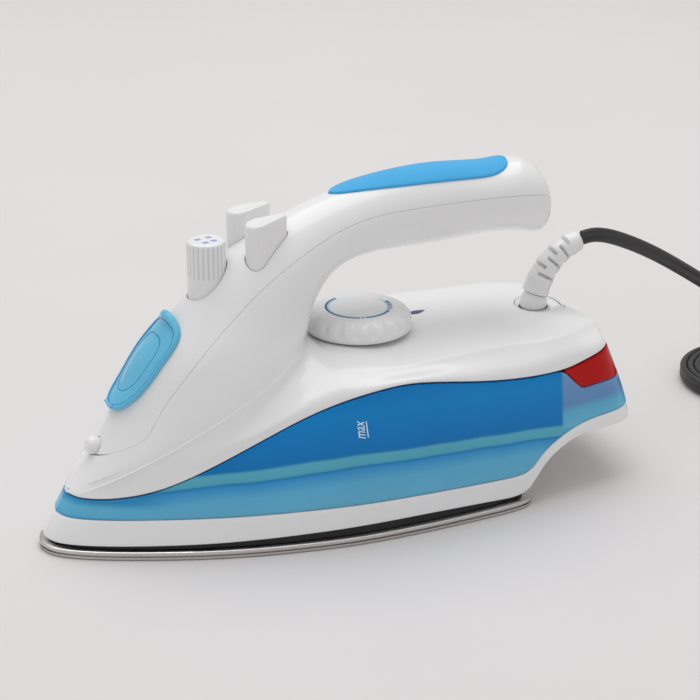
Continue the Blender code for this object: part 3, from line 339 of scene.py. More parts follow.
def make_camera():
    turn, tilt, distance = math.radians(25), math.radians(22), 1.0
    target = Vector((0.0191, 0.0219, 0.060))
    data = bpy.data.cameras.new("camera")
    data.lens = 108
    data.sensor_width = 36
    data.clip_start = 0.01
    camera = bpy.data.objects.new("camera", data)
    away = Vector((-math.sin(turn) * math.cos(tilt), -math.cos(turn) * math.cos(tilt),
                   math.sin(tilt)))
    camera.location = target + away * distance
    aim(camera, target)
    bpy.context.scene.collection.objects.link(camera)
    bpy.context.scene.camera = camera


def make_light(name, place, target, size, power):
    data = bpy.data.lights.new(name, "AREA")
    data.shape = "RECTANGLE"
    data.size, data.size_y = size
    data.energy = power
    light = bpy.data.objects.new(name, data)
    light.location = place
    aim(light, target)
    bpy.context.scene.collection.objects.link(light)


def make_studio():
    world = bpy.data.worlds.new("studio")
    world.use_nodes = True
    back = world.node_tree.nodes["Background"]
    back.inputs["Color"].default_value = (1.0, 0.985, 0.985, 1)
    back.inputs["Strength"].default_value = 0.53
    bpy.context.scene.world = world
    bpy.context.scene.view_settings.view_transform = "Standard"
    make_light("overhead", (0.1, 0.5, 2.2), (0, 0.05, 0), (2.4, 2.0), 31)
    make_light("key", (-1.3, -1.2, 1.1), (0, 0, 0.08), (1.2, 0.9), 1.2)
    data = bpy.data.meshes.new("floor")
    size = 5.0
    data.from_pydata([(-size, -size, 0), (size, -size, 0), (size, size, 0), (-size, size, 0)], [],
                     [(0, 1, 2, 3)])
    floor = bpy.data.objects.new("floor", data)
    floor.location.z = -0.0001
    bpy.context.scene.collection.objects.link(floor)
    data.materials.append(finish("floor_paper", (0.745, 0.725, 0.725), 0.8, mottle=0.012, scale=6,
                                 grain=0.02, grain_scale=900, specular=0.2))


# ---- materials


def node(tree, kind, **values):
    """A new node; each input is set to a number or colour, or joined to another node's output."""
    made = tree.nodes.new(f"ShaderNode{kind}")
    for name, value in values.items():
        entry = made.inputs[name.replace("_", " ")]
        if isinstance(value, bpy.types.NodeSocket):
            tree.links.new(value, entry)
        else:
            entry.default_value = value
    return made


def ranged(tree, value, low, high, to_low=0, to_high=1):
    """A value moved from one range to another, and held inside it."""
    return node(tree, "MapRange", Value=value, From_Min=low, From_Max=high, To_Min=to_low,
                To_Max=to_high).outputs["Result"]


def finish(name, colour, roughness, mottle=0.02, scale=60, grain=0.05, grain_scale=1800,
           stretch=(1, 1, 1), metallic=0.0, specular=0.5, coat=0.0, coat_roughness=0.1,
           transmission=0.0, ior=1.46, sheen=0.0, anisotropic=0.0, rough_spread=0.05, depth=0.0001,
           paint=None):
    """A moulded, cast or drawn finish: mottled colour, uneven gloss and a fine grain in relief."""
    made = bpy.data.materials.new(name)
    made.use_nodes = True
    tree = made.node_tree
    shader = tree.nodes["Principled BSDF"]
    place = node(tree, "TexCoord").outputs["Object"]
    stretched = node(tree, "Mapping", Vector=place, Scale=stretch).outputs["Vector"]
    wide = node(tree, "TexNoise", Vector=stretched, Scale=scale, Detail=4).outputs["Fac"]
    fine = node(tree, "TexNoise", Vector=stretched, Scale=grain_scale, Detail=2).outputs["Fac"]
    scaled = node(tree, "VectorMath")
    scaled.operation = "SCALE"
    if paint:
        tree.links.new(paint(tree, place), scaled.inputs[0])
    else:
        scaled.inputs[0].default_value = colour
    tree.links.new(ranged(tree, wide, 0.3, 0.7, 1 - mottle, 1 + mottle), scaled.inputs["Scale"])
    gloss = ranged(tree, fine, 0.3, 0.7, max(roughness - rough_spread, 0.01),
                   roughness + rough_spread)
    bump = node(tree, "Bump", Strength=grain, Distance=depth, Height=fine)
    for output, entry in ((scaled.outputs["Vector"], "Base Color"), (gloss, "Roughness"),
                          (bump.outputs["Normal"], "Normal")):
        tree.links.new(output, shader.inputs[entry])
    for entry, value in (("Metallic", metallic), ("Specular IOR Level", specular),
                         ("Coat Weight", coat), ("Coat Roughness", coat_roughness),
                         ("Transmission Weight", transmission), ("IOR", ior),
                         ("Sheen Weight", sheen), ("Anisotropic", anisotropic)):
        shader.inputs[entry].default_value = value
    made.diffuse_color = (*colour, 1)
    return made


def blended(tree, value, stops):
    """Colour along a value, through (place, colour) stops."""
    ramp = node(tree, "ValToRGB", Fac=value)
    elements = ramp.color_ramp.elements
    while len(elements) < len(stops):
        elements.new(0.5)
    for element, (place, colour) in zip(elements, stops):
        element.position = place
        element.color = (*colour, 1)
    return ramp.outputs["Color"]


def mixed(tree, share, first, second):
    made = node(tree, "Mix")
    made.data_type = "RGBA"
    for value, entry in ((share, "Factor"), (first, "A"), (second, "B")):
        tree.links.new(value, made.inputs[entry])
    return made.outputs["Result"]


def worked(tree, operation, first, second):
    """A sum, difference or product of outputs and numbers."""
    made = node(tree, "Math")
    made.operation = operation
    for entry, value in zip(made.inputs, (first, second)):
        if isinstance(value, float):
            entry.default_value = value
        else:
            tree.links.new(value, entry)
    return made.outputs[0]


def paint_liner_with_ledge_highlight(tree, place):
    """The tank's inner wall: pale at its foot, a painted shade line and a painted highlight strip
    at the ledge, deep blue above the ledge, paler in the rear bay.
    """
    x, _, z = node(tree, "SeparateXYZ", Vector=place).outputs
    up = ranged(tree, z, 0.017, 0.070)
    # Stops 0.355 to 0.43 paint a dark line of painted shade under the ledge and a light strip of
    # painted highlight along it.
    front = blended(tree, up, [
        (0.0, (0.9, 0.9, 1.0)), (0.30, (0.85, 0.86, 0.98)), (0.355, (0.20, 0.5, 0.8)),
        (0.385, (0.5, 1.0, 0.95)), (0.43, (0.45, 0.95, 0.92)), (0.47, (0.0, 0.40, 0.86)),
        (0.75, (0.0, 0.36, 0.84)), (1.0, (0.0, 0.30, 0.80))])
    rear = blended(tree, up, [
        (0.0, (0.8, 0.95, 1.0)), (0.4, (0.8, 0.95, 1.0)), (0.5, (0.75, 0.66, 0.85)),
        (0.8, (0.85, 0.72, 0.88)), (1.0, (1.0, 0.88, 0.98))])
    pale = blended(tree, up, [
        (0.0, (1.0, 0.95, 1.0)), (0.15, (1.0, 0.98, 1.0)), (0.3, (0.6, 0.7, 0.9)),
        (1.0, (0.3, 0.5, 0.85))])
    whole = mixed(tree, ranged(tree, x, 0.0975, 0.099), front, rear)
    return mixed(tree, ranged(tree, x, -0.07, -0.125), whole, pale)


def paint_tank_with_ledge_highlight(tree, place):
    """The tank's wall: light below the ledge, a bowed strip of painted highlight along the ledge
    with a painted shade line under it, deep blue above, greyer in the rear.
    """
    x, _, z = node(tree, "SeparateXYZ", Vector=place).outputs
    up = ranged(tree, z, 0.017, 0.070)
    # The bow and the noisy sway bend the painted highlight strip and the painted shade line under
    # it.
    off = worked(tree, "SUBTRACT", x, 0.010)
    bow = worked(tree, "MULTIPLY", worked(tree, "MULTIPLY", off, off), 0.68)
    ripple = node(tree, "TexNoise", Vector=place, Scale=14).outputs["Fac"]
    sway = worked(tree, "MULTIPLY", worked(tree, "SUBTRACT", ripple, 0.5), 0.006)
    level = worked(tree, "ADD", worked(tree, "ADD", z, bow), sway)
    # Stops 0.352 to 0.462 paint a dark line of painted shade under the ledge and a light strip of
    # painted highlight along it.
    front = blended(tree, ranged(tree, level, 0.0178, 0.0718), [
        (0.0, (0.22, 0.72, 1.0)), (0.22, (0.18, 0.68, 1.0)), (0.33, (0.06, 0.48, 0.94)),
        (0.352, (0.02, 0.33, 0.76)), (0.368, (0.14, 0.64, 0.84)), (0.44, (0.17, 0.68, 0.86)),
        (0.462, (0.0, 0.29, 0.76)), (0.62, (0.0, 0.33, 0.86)), (0.8, (0.0, 0.38, 0.92)),
        (1.0, (0.0, 0.32, 0.84))])
    rear = blended(tree, up, [
        (0.28, (0.06, 0.50, 0.95)), (0.34, (0.22, 0.74, 1.0)), (0.46, (0.18, 0.68, 0.98)),
        (0.54, (0.20, 0.44, 0.80)), (0.9, (0.26, 0.52, 0.86))])
    pale = blended(tree, up, [
        (0.0, (0.06, 0.45, 0.9)), (0.035, (0.18, 0.70, 1.0)), (0.10, (0.20, 0.72, 1.0)),
        (0.15, (0.04, 0.42, 0.80)), (0.22, (0.03, 0.38, 0.75))])
    whole = mixed(tree, ranged(tree, x, 0.0932, 0.0946), front, rear)
    return mixed(tree, ranged(tree, x, -0.09, -0.118), whole, pale)


# ---- meshes


def numeric(points, faces):
    mesh = bpy.data.meshes.new("made")
    mesh.from_pydata([tuple(p) for p in np.asarray(points, float)], [], faces)
    bm = bmesh.new()
    bm.from_mesh(mesh)
    bpy.data.meshes.remove(mesh)
    return bm


def piece(name, bm, look, body, nodes=(), angle=35, merge=0.004):
    """Makes a piece of a mesh in millimetres; it rides on a body and stands for CAD nodes."""
    bmesh.ops.remove_doubles(bm, verts=bm.verts, dist=merge)
    bmesh.ops.dissolve_degenerate(bm, edges=bm.edges, dist=merge / 2)
    bmesh.ops.recalc_face_normals(bm, faces=bm.faces)
    for vert in bm.verts:
        vert.co = vert.co * MM
    mesh = bpy.data.meshes.new(name)
    bm.to_mesh(mesh)
    bm.free()
    mesh.shade_smooth()
    mesh.set_sharp_from_angle(angle=math.radians(angle))
    made = bpy.data.objects.new(name, mesh)
    bpy.context.scene.collection.objects.link(made)
    if look:
        mesh.materials.append(look)
    if body:
        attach(made, body)
    if nodes:
        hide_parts(*nodes)
    return made


def carve(target, *cutters):
    """Takes shapes out of a piece and leaves it with the plain mesh that results."""
    for tool in cutters:
        modifier = target.modifiers.new("cut", "BOOLEAN")
        modifier.operation = "DIFFERENCE"
        modifier.solver = "EXACT"
        modifier.object = tool
    graph = bpy.context.evaluated_depsgraph_get()
    result = bpy.data.meshes.new_from_object(target.evaluated_get(graph))
    target.modifiers.clear()
    old = target.data
    target.data = result
    bpy.data.meshes.remove(old)
    result.name = target.name
    for tool in cutters:
        bpy.data.objects.remove(tool)
    result.shade_smooth()
    result.set_sharp_from_angle(angle=math.radians(32))


def cutter(bm):
    return piece("cutter", bm, None, None)


def loft(rings, loop=False):
    """Mesh through rings of equally many points, capped at both ends or closed in a loop."""
    rings = np.asarray(rings, float)
    count, around = rings.shape[:2]
    index = np.arange(count * around).reshape(count, around)
    ahead = np.roll(index, -1, axis=1)
    last = count if loop else count - 1
    nxt = np.roll(index, -1, axis=0)
    nxt_ahead = np.roll(ahead, -1, axis=0)
    faces = np.stack([index, ahead, nxt_ahead, nxt], -1)[:last].reshape(-1, 4).tolist()
    if not loop:
        faces += [index[0][::-1].tolist(), index[-1].tolist()]
    return numeric(rings.reshape(-1, 3), faces)


def half_shell(outer, inner):
    """Solid between two grids of the near half and their mirror image."""
    points, faces = [], []
    rows, columns = outer.shape[:2]
    size = rows * columns
    index = np.arange(size).reshape(rows, columns)
    quads = np.stack([index[:-1, :-1], index[:-1, 1:], index[1:, 1:], index[1:, :-1]], -1)
    quads = quads.reshape(-1, 4)
    rims = [(index[:-1, j], index[1:, j]) for j in (0, columns - 1)]
    rims += [(index[i, :-1], index[i, 1:]) for i in (0, rows - 1)]
    for side in (1, -1):
        start = len(points) * size
        for grid in (outer, inner):
            flipped = np.array(grid, float)
            flipped[..., 1] = np.minimum(flipped[..., 1], 0) * side
            points.append(flipped.reshape(-1, 3))
        faces += (quads + start).tolist() + (quads[:, ::-1] + start + size).tolist()
        for a, b in rims:
            edge = np.stack([a, b, b + size, a + size], -1)
            both = np.concatenate([points[-2], points[-1]])
            keep = np.abs(both[edge][..., 1]).max(axis=1) > 1e-3
            faces += (edge[keep] + start).tolist()
    return numeric(np.concatenate(points), faces)


def frame_at(direction):
    direction = unit(direction)
    helper = np.array([0, 1.0, 0]) if abs(direction[1]) < 0.9 else np.array([1.0, 0, 0])
    first = unit(np.cross(helper, direction))
    return first, np.cross(direction, first)


def rounded(profile, steps=5):
    """Profile of (radius, height) with each corner softened."""
    profile = [np.array(p, float) for p in profile]
    made = [profile[0]]
    for before, corner, after in zip(profile, profile[1:], profile[2:]):
        size = min(np.linalg.norm(corner - before), np.linalg.norm(after - corner)) * 0.45
        a = corner + unit(before - corner) * size
        b = corner + unit(after - corner) * size
        for t in np.linspace(0, 1, steps):
            made.append(a * (1 - t) ** 2 + corner * 2 * t * (1 - t) + b * t * t)
    return made + [profile[-1]]


def turned(profile, centre=(0, 0, 0), axis=(0, 0, 1), segments=64, wave=None):
    """Turned shape; wave(radius, height, angle) moves a point out."""
    first, second = frame_at(axis)
    axis = unit(axis)
    angle = circle(segments)
    around = np.cos(angle)[:, None] * first + np.sin(angle)[:, None] * second
    rings = []
    for radius, height in profile:
        reach = radius + (wave(radius, height, angle) if wave else 0 * angle)
        rings.append(np.array(centre, float) + axis * height + around * reach[:, None])
    return loft(rings)


def pipe(path, radius, sides=24, section=None, up=None):
    """Bar along points; section(angle) scales its radius, and up is the first way it faces."""
    path = np.array(path, float)
    tangents = unit(np.gradient(path, axis=0))
    angle = circle(sides)
    shape = section(angle) if section else np.ones(sides)
    rings = []
    facing = np.array(up, float) if up is not None else frame_at(tangents[0])[0]
    for point, tangent in zip(path, tangents):
        facing = unit(facing - tangent * (facing @ tangent))
        side = np.cross(tangent, facing)
        spokes = np.cos(angle)[:, None] * facing + np.sin(angle)[:, None] * side
        rings.append(point + spokes * (shape * radius)[:, None])
        if up is not None:
            facing = facing + np.array(up, float) * 0.15
    return loft(rings)


def ribbon(path, normals, width, thickness=0.12):
    """Thin raised strip along points of a surface."""
    path = np.array(path, float)
    tangents = unit(np.gradient(path, axis=0))
    normals = np.broadcast_to(np.asarray(normals, float), path.shape)
    side = unit(np.cross(tangents, normals))
    widths = np.broadcast_to(np.asarray(width, float), (len(path),))[:, None] / 2
    top = normals * thickness
    rings = np.stack([path - side * widths - normals * 0.3, path - side * widths + top,
                      path + side * widths + top, path + side * widths - normals * 0.3], 1)
    return loft(rings)


def merged(*parts):
    """One mesh of several."""
    whole = bmesh.new()
    for part in parts:
        mesh = bpy.data.meshes.new("made")
        part.to_mesh(mesh)
        part.free()
        whole.from_mesh(mesh)
        bpy.data.meshes.remove(mesh)
    return whole


# ---- body surface

rib_cache = {}


def rib_at(u):
    key = round(float(u), 7)
    if key not in rib_cache:
        rib_cache[key] = np.array(rib(key))
    return rib_cache[key]


def body_row(u, v):
    """Points of the body's surface across the rib at u, evened out at the shoulder by the nose."""
    v = np.asarray(v, float)
    spread = 0.16 * float(smooth((u - 7.6) / 1.6) * smooth((18.5 - u) / 4.5))
    if spread < 1e-4:
        return plain_row(u, v)
    reach = spread * smooth(1.5 - np.abs(v - 0.5) / 0.22)
    total = 0
    for share, weight in ((-1, 0.09), (-0.6, 0.16), (-0.25, 0.25), (0.25, 0.25), (0.6, 0.16),
                          (1, 0.09)):
        total = total + weight * plain_row(u, v + reach * share)
    return total


def plain_row(u, v):
    arcs = rib_at(u)
    first = np.clip(v * 2, 0, 1)[..., None]
    second = np.clip(v * 2 - 1, 0, 1)[..., None]
    return np.where((v <= 0.5)[..., None], bezier(arcs[0], first), bezier(arcs[1], second))


def body_normals(u, v):
    """Outward unit normals of the near half across the rib at u."""
    du, dv = 0.02, 0.01
    v = np.asarray(v, float)
    u0, u1 = max(u - du, 0), min(u + du, LAST_RIB)
    if u0 < NOSE_RIB < u1:
        u0, u1 = (u0, NOSE_RIB - 1e-6) if u < NOSE_RIB else (NOSE_RIB, u1)
    beside = np.clip(v, dv, 1 - dv)
    along_u = body_row(u1, beside) - body_row(u0, beside)
    along_v = body_row(u, np.minimum(v + dv, 1)) - body_row(u, np.maximum(v - dv, 0))
    normal = np.cross(along_u, along_v)
    weak = np.linalg.norm(normal, axis=-1) < 1e-9
    normal[weak] = (1.0, 0, 0)
    normal = unit(normal)
    centre = (v < 1e-6) | ((v > 1 - 1e-6) & (u >= NOSE_RIB)) | (u < 1e-6)
    normal[centre, 1] = 0
    if u <= NOSE_RIB:
        normal[v > 1 - 1e-6, 2] = 0
    if u < FAN_RIB:
        normal[v < 1e-6] = (0, 0, 1.0)
    return unit(normal)


def body_speed(u, v):
    """How far the surface runs for each whole step of v."""
    low, high = max(v - 0.01, 0), min(v + 0.01, 1)
    two = body_row(u, np.array([low, high]))
    return max(float(np.linalg.norm(two[1] - two[0])) / (high - low), 0.5)


FILLET = [(0.0, 1.0), (0.08, 0.61), (0.3, 0.286), (0.6, 0.083), (1.0, 0.0)]


def body_grids(u_values, low, high, columns, low_round, high_round):
    """Outer and inner grids between two edges, whose outer corners are rounded off."""
    outer, inner = [], []
    for u in u_values:
        v0, v1 = low(u), high(u)
        span = v1 - v0
        places, insets = [], []
        for edge, sign, size in ((v0, 1, low_round(u)), (v1, -1, high_round(u))):
            speed = body_speed(u, edge)
            reach = [min(size * share / speed, span * 0.2 * share + 1e-9) for share, _ in FILLET]
            places.append([edge + sign * r for r in reach])
            insets.append([size * drop for _, drop in FILLET])
        middle = np.linspace(places[0][-1], places[1][-1], columns + 1)[1:-1]
        v = np.concatenate([places[0], middle, places[1][::-1]])
        inset = np.concatenate([insets[0], 0 * middle, insets[1][::-1]])
        points, normals = body_row(u, v), body_normals(u, v)
        outer.append(points - normals * inset[:, None])
        inner.append(points - normals * WALL)
    return np.array(outer), np.array(inner)


def seam_edge(u, side):
    """Place of the seam's edge on one side of its gap."""
    place = float(seam(u)[0])
    step = 0.003
    slope = SEAM_FIRST_SLOPE
    if u > SEAM_START + step:
        slope = float(seam(u + step)[0] - seam(u - step)[0]) / (2 * step)
    pace = float(np.linalg.norm(body_row(u + 0.02, np.array([place]))
                                - body_row(u - 0.02, np.array([place])))) / 0.04
    speed = body_speed(u, place)
    offset = SEAM_GAP / 2 / speed * math.hypot(1, slope * speed / pace)
    return min(place + side * min(offset, 0.05), 1.0)


def hull_points(places, heights, inset):
    """Points of the hull moved level and inward: arrays of places, heights and insets."""
    normal = hull_normal(places, heights)
    normal[..., 2] = 0
    normal[(places <= 0) | (places >= 1), 1] = 0
    points = hull(places, heights) - unit(normal) * np.asarray(inset)[..., None]
    points[..., 1] = np.minimum(points[..., 1], 0)
    return points


def hull_stations(start=0.0, end=1.0, count=150):
    spread = [(0, 0.0), (0.12, 0.02), (0.22, 0.07), (0.55, 0.6), (0.68, 0.79), (0.8, 0.86),
              (0.9, 0.92), (1, 1.0)]
    whole = np.interp(np.linspace(0, 1, 400), *zip(*spread))
    inside = whole[(whole > start) & (whole < end)]
    keep = inside[np.linspace(0, len(inside) - 1, min(count, len(inside))).astype(int)]
    return np.concatenate([[start], np.unique(keep), [end]])


def band(places, low, high, low_lift, high_lift, rows=10, wall=WALL, low_round=0.6,
         high_round=0.4, low_inset=0.0):
    """Outer and inner grids of a wall of the hull between two curves of heights."""
    bottom = np.array([hull_edge(p, low, low_lift)[2] for p in places])
    top = np.array([hull_edge(p, high, high_lift)[2] for p in places])
    span = top - bottom
    heights, insets = [], []
    for share, drop in FILLET:
        heights.append(bottom + np.minimum(low_round * share, span * 0.25 * share))
        insets.append(low_round * drop + 0 * span)
    upper = [top - np.minimum(high_round * share, span * 0.25 * share) for share, _ in FILLET]
    for k in range(1, rows):
        heights.append(heights[4] + (upper[-1] - heights[4]) * k / rows)
        insets.append(0 * span)
    for z, (_, drop) in zip(upper[::-1], FILLET[::-1]):
        heights.append(z)
        insets.append(high_round * drop + 0 * span)
    heights, insets = np.array(heights).T, np.array(insets).T
    where = np.broadcast_to(places[:, None], heights.shape)
    outer = hull_points(where, heights, insets + low_inset)
    inner = hull_points(where, heights, 0 * heights + wall + low_inset)
    return outer, inner


# ---- cord

CORD_WIDTH = 7.2
HANK_Z = 5.0
HANK_LEFT, HANK_RIGHT, HANK_Y = 256.0, 364.0, 27.0
TURN_RADII = [34.85, 31.2, 27.55, 23.9, 20.4]
CORD_DROP = [(131.8, 0, 106.9), (136, 0.4, 107.3), (146, 2, 105.4), (157, 5, 100.8),
             (178, 11, 89.8), (202, 19, 75.0), (224, 27.5, 60.5), (250, 38.8, 43.5),
             (276, 49, 29.0), (297, 56.6, 18.4), (310, 60.0, 13.4), (321, 61.6, 10.2),
             (334, 61.9, 7.2), (347, 61.85, 5.4)]
TAIL = [(343, 8.2, 5.0), (334, 11.8, 5.0), (324, 17.2, 5.6), (316, 22.2, 6.6), (308, 26.0, 7.6),
        (298.5, 27.0, 7.8)]


def hank_route():
    """The wound length: four turns, each inside the last, and half of a fifth."""
    points = []
    for k, radius in enumerate(TURN_RADII):
        for angle in np.linspace(math.pi / 2, -math.pi / 2, 18):
            points.append((HANK_RIGHT + radius * math.cos(angle),
                           HANK_Y + radius * math.sin(angle), HANK_Z))
        if k == len(TURN_RADII) - 1:
            break
        for x in np.linspace(HANK_RIGHT, HANK_LEFT, 12)[1:-1]:
            points.append((x, HANK_Y - radius, HANK_Z))
        for angle in np.linspace(-math.pi / 2, -3 * math.pi / 2, 18):
            points.append((HANK_LEFT + radius * math.cos(angle),
                           HANK_Y + radius * math.sin(angle), HANK_Z))
        for x in np.linspace(HANK_LEFT, HANK_RIGHT, 14)[1:-1]:
            share = smooth((x - HANK_LEFT) / (301 - HANK_LEFT))
            reach = radius + (TURN_RADII[k + 1] - radius) * float(share)
            points.append((x, HANK_Y + reach, HANK_Z))
    return points


def twin(angle):
    """Section of a flat two-core cord, as a share of half its width."""
    core, offset = 0.51, 0.49
    lobes = offset * np.abs(np.cos(angle)) + np.sqrt(core**2 - (offset * np.sin(angle)) ** 2)
    web = np.where(np.abs(np.sin(angle)) > 0.5, 0.33 / np.maximum(np.abs(np.sin(angle)), 0.3), 0)
    return np.maximum(lobes, web)


def make_cord():
    plug = make_plug()
    drop = along(CORD_DROP)(np.linspace(0, 1, 70))
    tail = along([(355, HANK_Y - TURN_RADII[-1], HANK_Z)] + TAIL)(np.linspace(0, 1, 18))
    knots = np.concatenate([drop[:-2], hank_route(), tail])
    route = along(knots)(np.linspace(0, 1, 700))
    tube = pipe(route, CORD_WIDTH / 2, 32, twin, up=(0, 0, 1))
    look = finish("cord_rubber", (0.035, 0.034, 0.036), 0.42, mottle=0.12, scale=160, grain=0.25,
                  grain_scale=2600, specular=0.45, rough_spread=0.08)
    cord = piece("flex", tube, look, "iron", ("cord", "cord_hank", "cord_tail"))
    ties = make_ties()
    [tuple(float(c) * MM for c in p) for p in route]


def make_ties():
    """Woven bands round the hank, with rounded corners."""
    look = finish("tie_webbing", (0.02, 0.02, 0.022), 0.85, mottle=0.25, scale=400, grain=0.9,
                  grain_scale=1500, stretch=(1.0, 0.25, 0.25), sheen=0.35, depth=0.0003)
    made = []
    for name in ("front", "rear"):
        low, high = box_mm(f"cord_tie_{name}")
        x = (low[0] + high[0]) / 2
        middle_y, middle_z = (low[1] + high[1]) / 2, (low[2] + high[2]) / 2
        half_y, half_z = (high[1] - low[1]) / 2 - 0.5, (high[2] - low[2]) / 2 - 0.5
        corner = 3.2
        path = []
        for y, z, start in ((1, 1, 0), (-1, 1, 1), (-1, -1, 2), (1, -1, 3)):
            for angle in np.linspace(start, start + 1, 9) * math.pi / 2:
                path.append((y * (half_y - corner) + corner * math.cos(angle),
                             z * (half_z - corner) + corner * math.sin(angle)))
        path = np.array(path)
        out = unit(path - np.sign(path) * (np.array([half_y, half_z]) - corner))
        rings = []
        for across in np.linspace(-math.pi, math.pi, 20, endpoint=False):
            wide = 6.0 * np.sign(math.cos(across)) * abs(math.cos(across)) ** 0.35
            thick = 0.5 * np.sign(math.sin(across)) * abs(math.sin(across)) ** 0.5
            wave = 0.12 * math.cos(wide * 2.1)
            ring = path + out * (thick + (wave if thick > 0 else 0))
            rings.append([(x + wide, middle_y + y, middle_z + z) for y, z in ring])
        made.append(piece(f"tie_{name}", loft(rings, loop=True), look, "iron",
                          (f"cord_tie_{name}",)))
    return made


def make_plug():
    """The moulded plug: a flared body with finger ridges and a tapered relief at the cord."""
    low, high = box_mm("plug_body")
    z = (low[2] + high[2]) / 2
    front = low[0]
    outline = along([(high[0], 4.3, 3.8), (front + 36, 5.2, 4.6), (front + 27, 7.5, 6.0),
                     (front + 19, 11, 7.2), (front + 9, 12.4, 7.6), (front + 2, 12.4, 7.5),
                     (front + 0.6, 12.0, 7.1), (front, 11.2, 6.4)])
    rings = []
    angle = circle(56)
    for x, half, thick in outline(np.linspace(0, 1, 90)):
        back = x - front
        ridge = 0.45 * max(math.sin((back - 4) / 2.4 * math.pi), 0) ** 2 if 5 < back < 19 else 0
        collar = -0.5 * max(math.cos((back - 33) / 1.7 * math.pi), 0) ** 4 if 27 < back < 40 else 0
        side = np.abs(np.cos(angle)) ** 2
        grow = 1 + (ridge * side + collar) / half
        wide, tall = (np.sign(a) * np.abs(a) ** 0.62 for a in (np.cos(angle), np.sin(angle)))
        rings.append(np.stack([x + 0 * angle, HANK_Y + half * wide * grow, z + thick * tall * grow],
                              -1))
    look = finish("plug_rubber", (0.03, 0.03, 0.032), 0.5, mottle=0.1, scale=120, grain=0.3,
                  grain_scale=2200)
    return piece("plug", loft(rings), look, "iron", ("plug_body",))


# ---- sole, skirt and tank

SOLE_PLAN = PLAN[:14] + [(75.3, 55), (78.6, 51.2), (79.8, 46), (80.2, 30), (80.4, 0)]


def sole_ring(inset, z, count=130):
    near = along(SOLE_PLAN)(np.linspace(0, 1, count) ** 1.15)
    low, high = box_mm("soleplate")
    length = high[0] - low[0]
    x = low[0] + inset + (near[:, 0] - low[0]) * (length - 2 * inset) / length
    y = near[:, 1] * (high[1] - inset) / high[1]
    return np.concatenate([np.stack([x, -y, 0 * x + z], -1),
                           np.stack([x, y, 0 * x + z], -1)[-2:0:-1]])


def make_sole():
    """The steel sole with a grooved rim and countersunk steam holes."""
    rim = [(1.3, 0.0), (0.6, 0.1), (0.15, 0.4), (0, 0.8), (0, 1.3), (0.1, 1.42), (1.5, 1.5),
           (1.6, 1.85), (1.5, 2.2), (0.1, 2.28), (0, 2.4), (0, 3.3), (0.2, 3.75), (0.7, 4.0)]
    look = finish("sole_steel", (0.62, 0.60, 0.585), 0.3, mottle=0.02, scale=20, grain=0.06,
                  grain_scale=500, stretch=(0.05, 2.2, 2.2), metallic=1.0, anisotropic=0.4,
                  rough_spread=0.04)
    sole = piece("sole", loft([sole_ring(i, z) for i, z in rim]), look, "iron", ("soleplate",))
    holes = []
    for side in (-1, 1):
        for x, y in [(-110, 12), (-92, 21), (-72, 29), (-50, 36), (-27, 40.5), (-3, 43), (22, 44)]:
            profile = [(2.9, -1), (2.9, 0.02), (1.7, 0.9), (1.6, 3.2)]
            holes.append(turned(profile, (x, side * y, 0), segments=28))
    carve(sole, cutter(merged(*holes)))


def white_look(name, tone=1.0, roughness=0.2):
    return finish(name, (0.875 * tone, 0.88 * tone, 0.885 * tone), roughness, mottle=0.012,
                  scale=45, grain=0.05, grain_scale=1500, coat=0.25, coat_roughness=0.06,
                  rough_spread=0.035)


def clear_look(name, colour, roughness=0.05, transmission=0.92, specular=0.5, paint=None):
    return finish(name, colour, roughness, mottle=0.03, scale=35, grain=0.03, grain_scale=220,
                  transmission=transmission, ior=1.42, rough_spread=0.02, specular=specular,
                  paint=paint)


def steel_look(name, roughness):
    return finish(name, (0.55, 0.54, 0.53), roughness, mottle=0.08, scale=90, grain=0.2,
                  grain_scale=1500, metallic=1.0)


def make_hull(white):
    """The skirt, the tank's wall and liner, and the rear lamp with ribs behind its lens."""
    places = hull_stations()
    wall = band(places, SKIRT_EDGE, TANK_FOOT, LIFT_LOW, -0.25, 6, low_round=1.0, high_round=0.5)
    piece("skirt_wall", half_shell(*wall), white, "iron", ("skirt",))
    tank = clear_look("tank_clear_with_painted_highlight", (0.2, 0.7, 1.0), 0.06, 0.38, 0.2, paint_tank_with_ledge_highlight)
    wall = band(places, TANK_FOOT, TANK_RIM, LIFT_LOW, LIFT_HIGH, 14, wall=1.8, low_round=0.5,
                high_round=0.5)
    piece("tank_wall", half_shell(*wall), tank, "iron", ("water_tank",))
    make_liner(places)
    first = plan_place(101.0)
    lens = clear_look("lens_red", (0.62, 0.002, 0.001), 0.08, 0.25, 0.15)
    rear = hull_stations(first, 1.0, 70)
    outer, inner = band(rear, TANK_RIM, BODY_EDGE, LIFT_LOW, LIFT_HIGH, 10, wall=1.9,
                        low_round=0.6, high_round=0.5)
    ribs = 0.5 * np.cos(np.arange(len(rear)) * 2 * math.pi / 4)[:, None]
    inner = inner - unit(outer - inner) * ribs[..., None]
    piece("lens", half_shell(outer, inner), lens, "iron", ("rear_lamp_lens",))
    back = band(hull_stations(first + 0.004, 1.0, 50), TANK_RIM, BODY_EDGE, 1.2, -1.2, 6, wall=0.8,
                low_inset=3.6)
    look = finish("reflector", (0.5, 0.003, 0.002), 0.5, specular=0.1, mottle=0.1, scale=90,
                  grain=0.1)
    piece("lens_reflector", half_shell(*back), look, "iron")


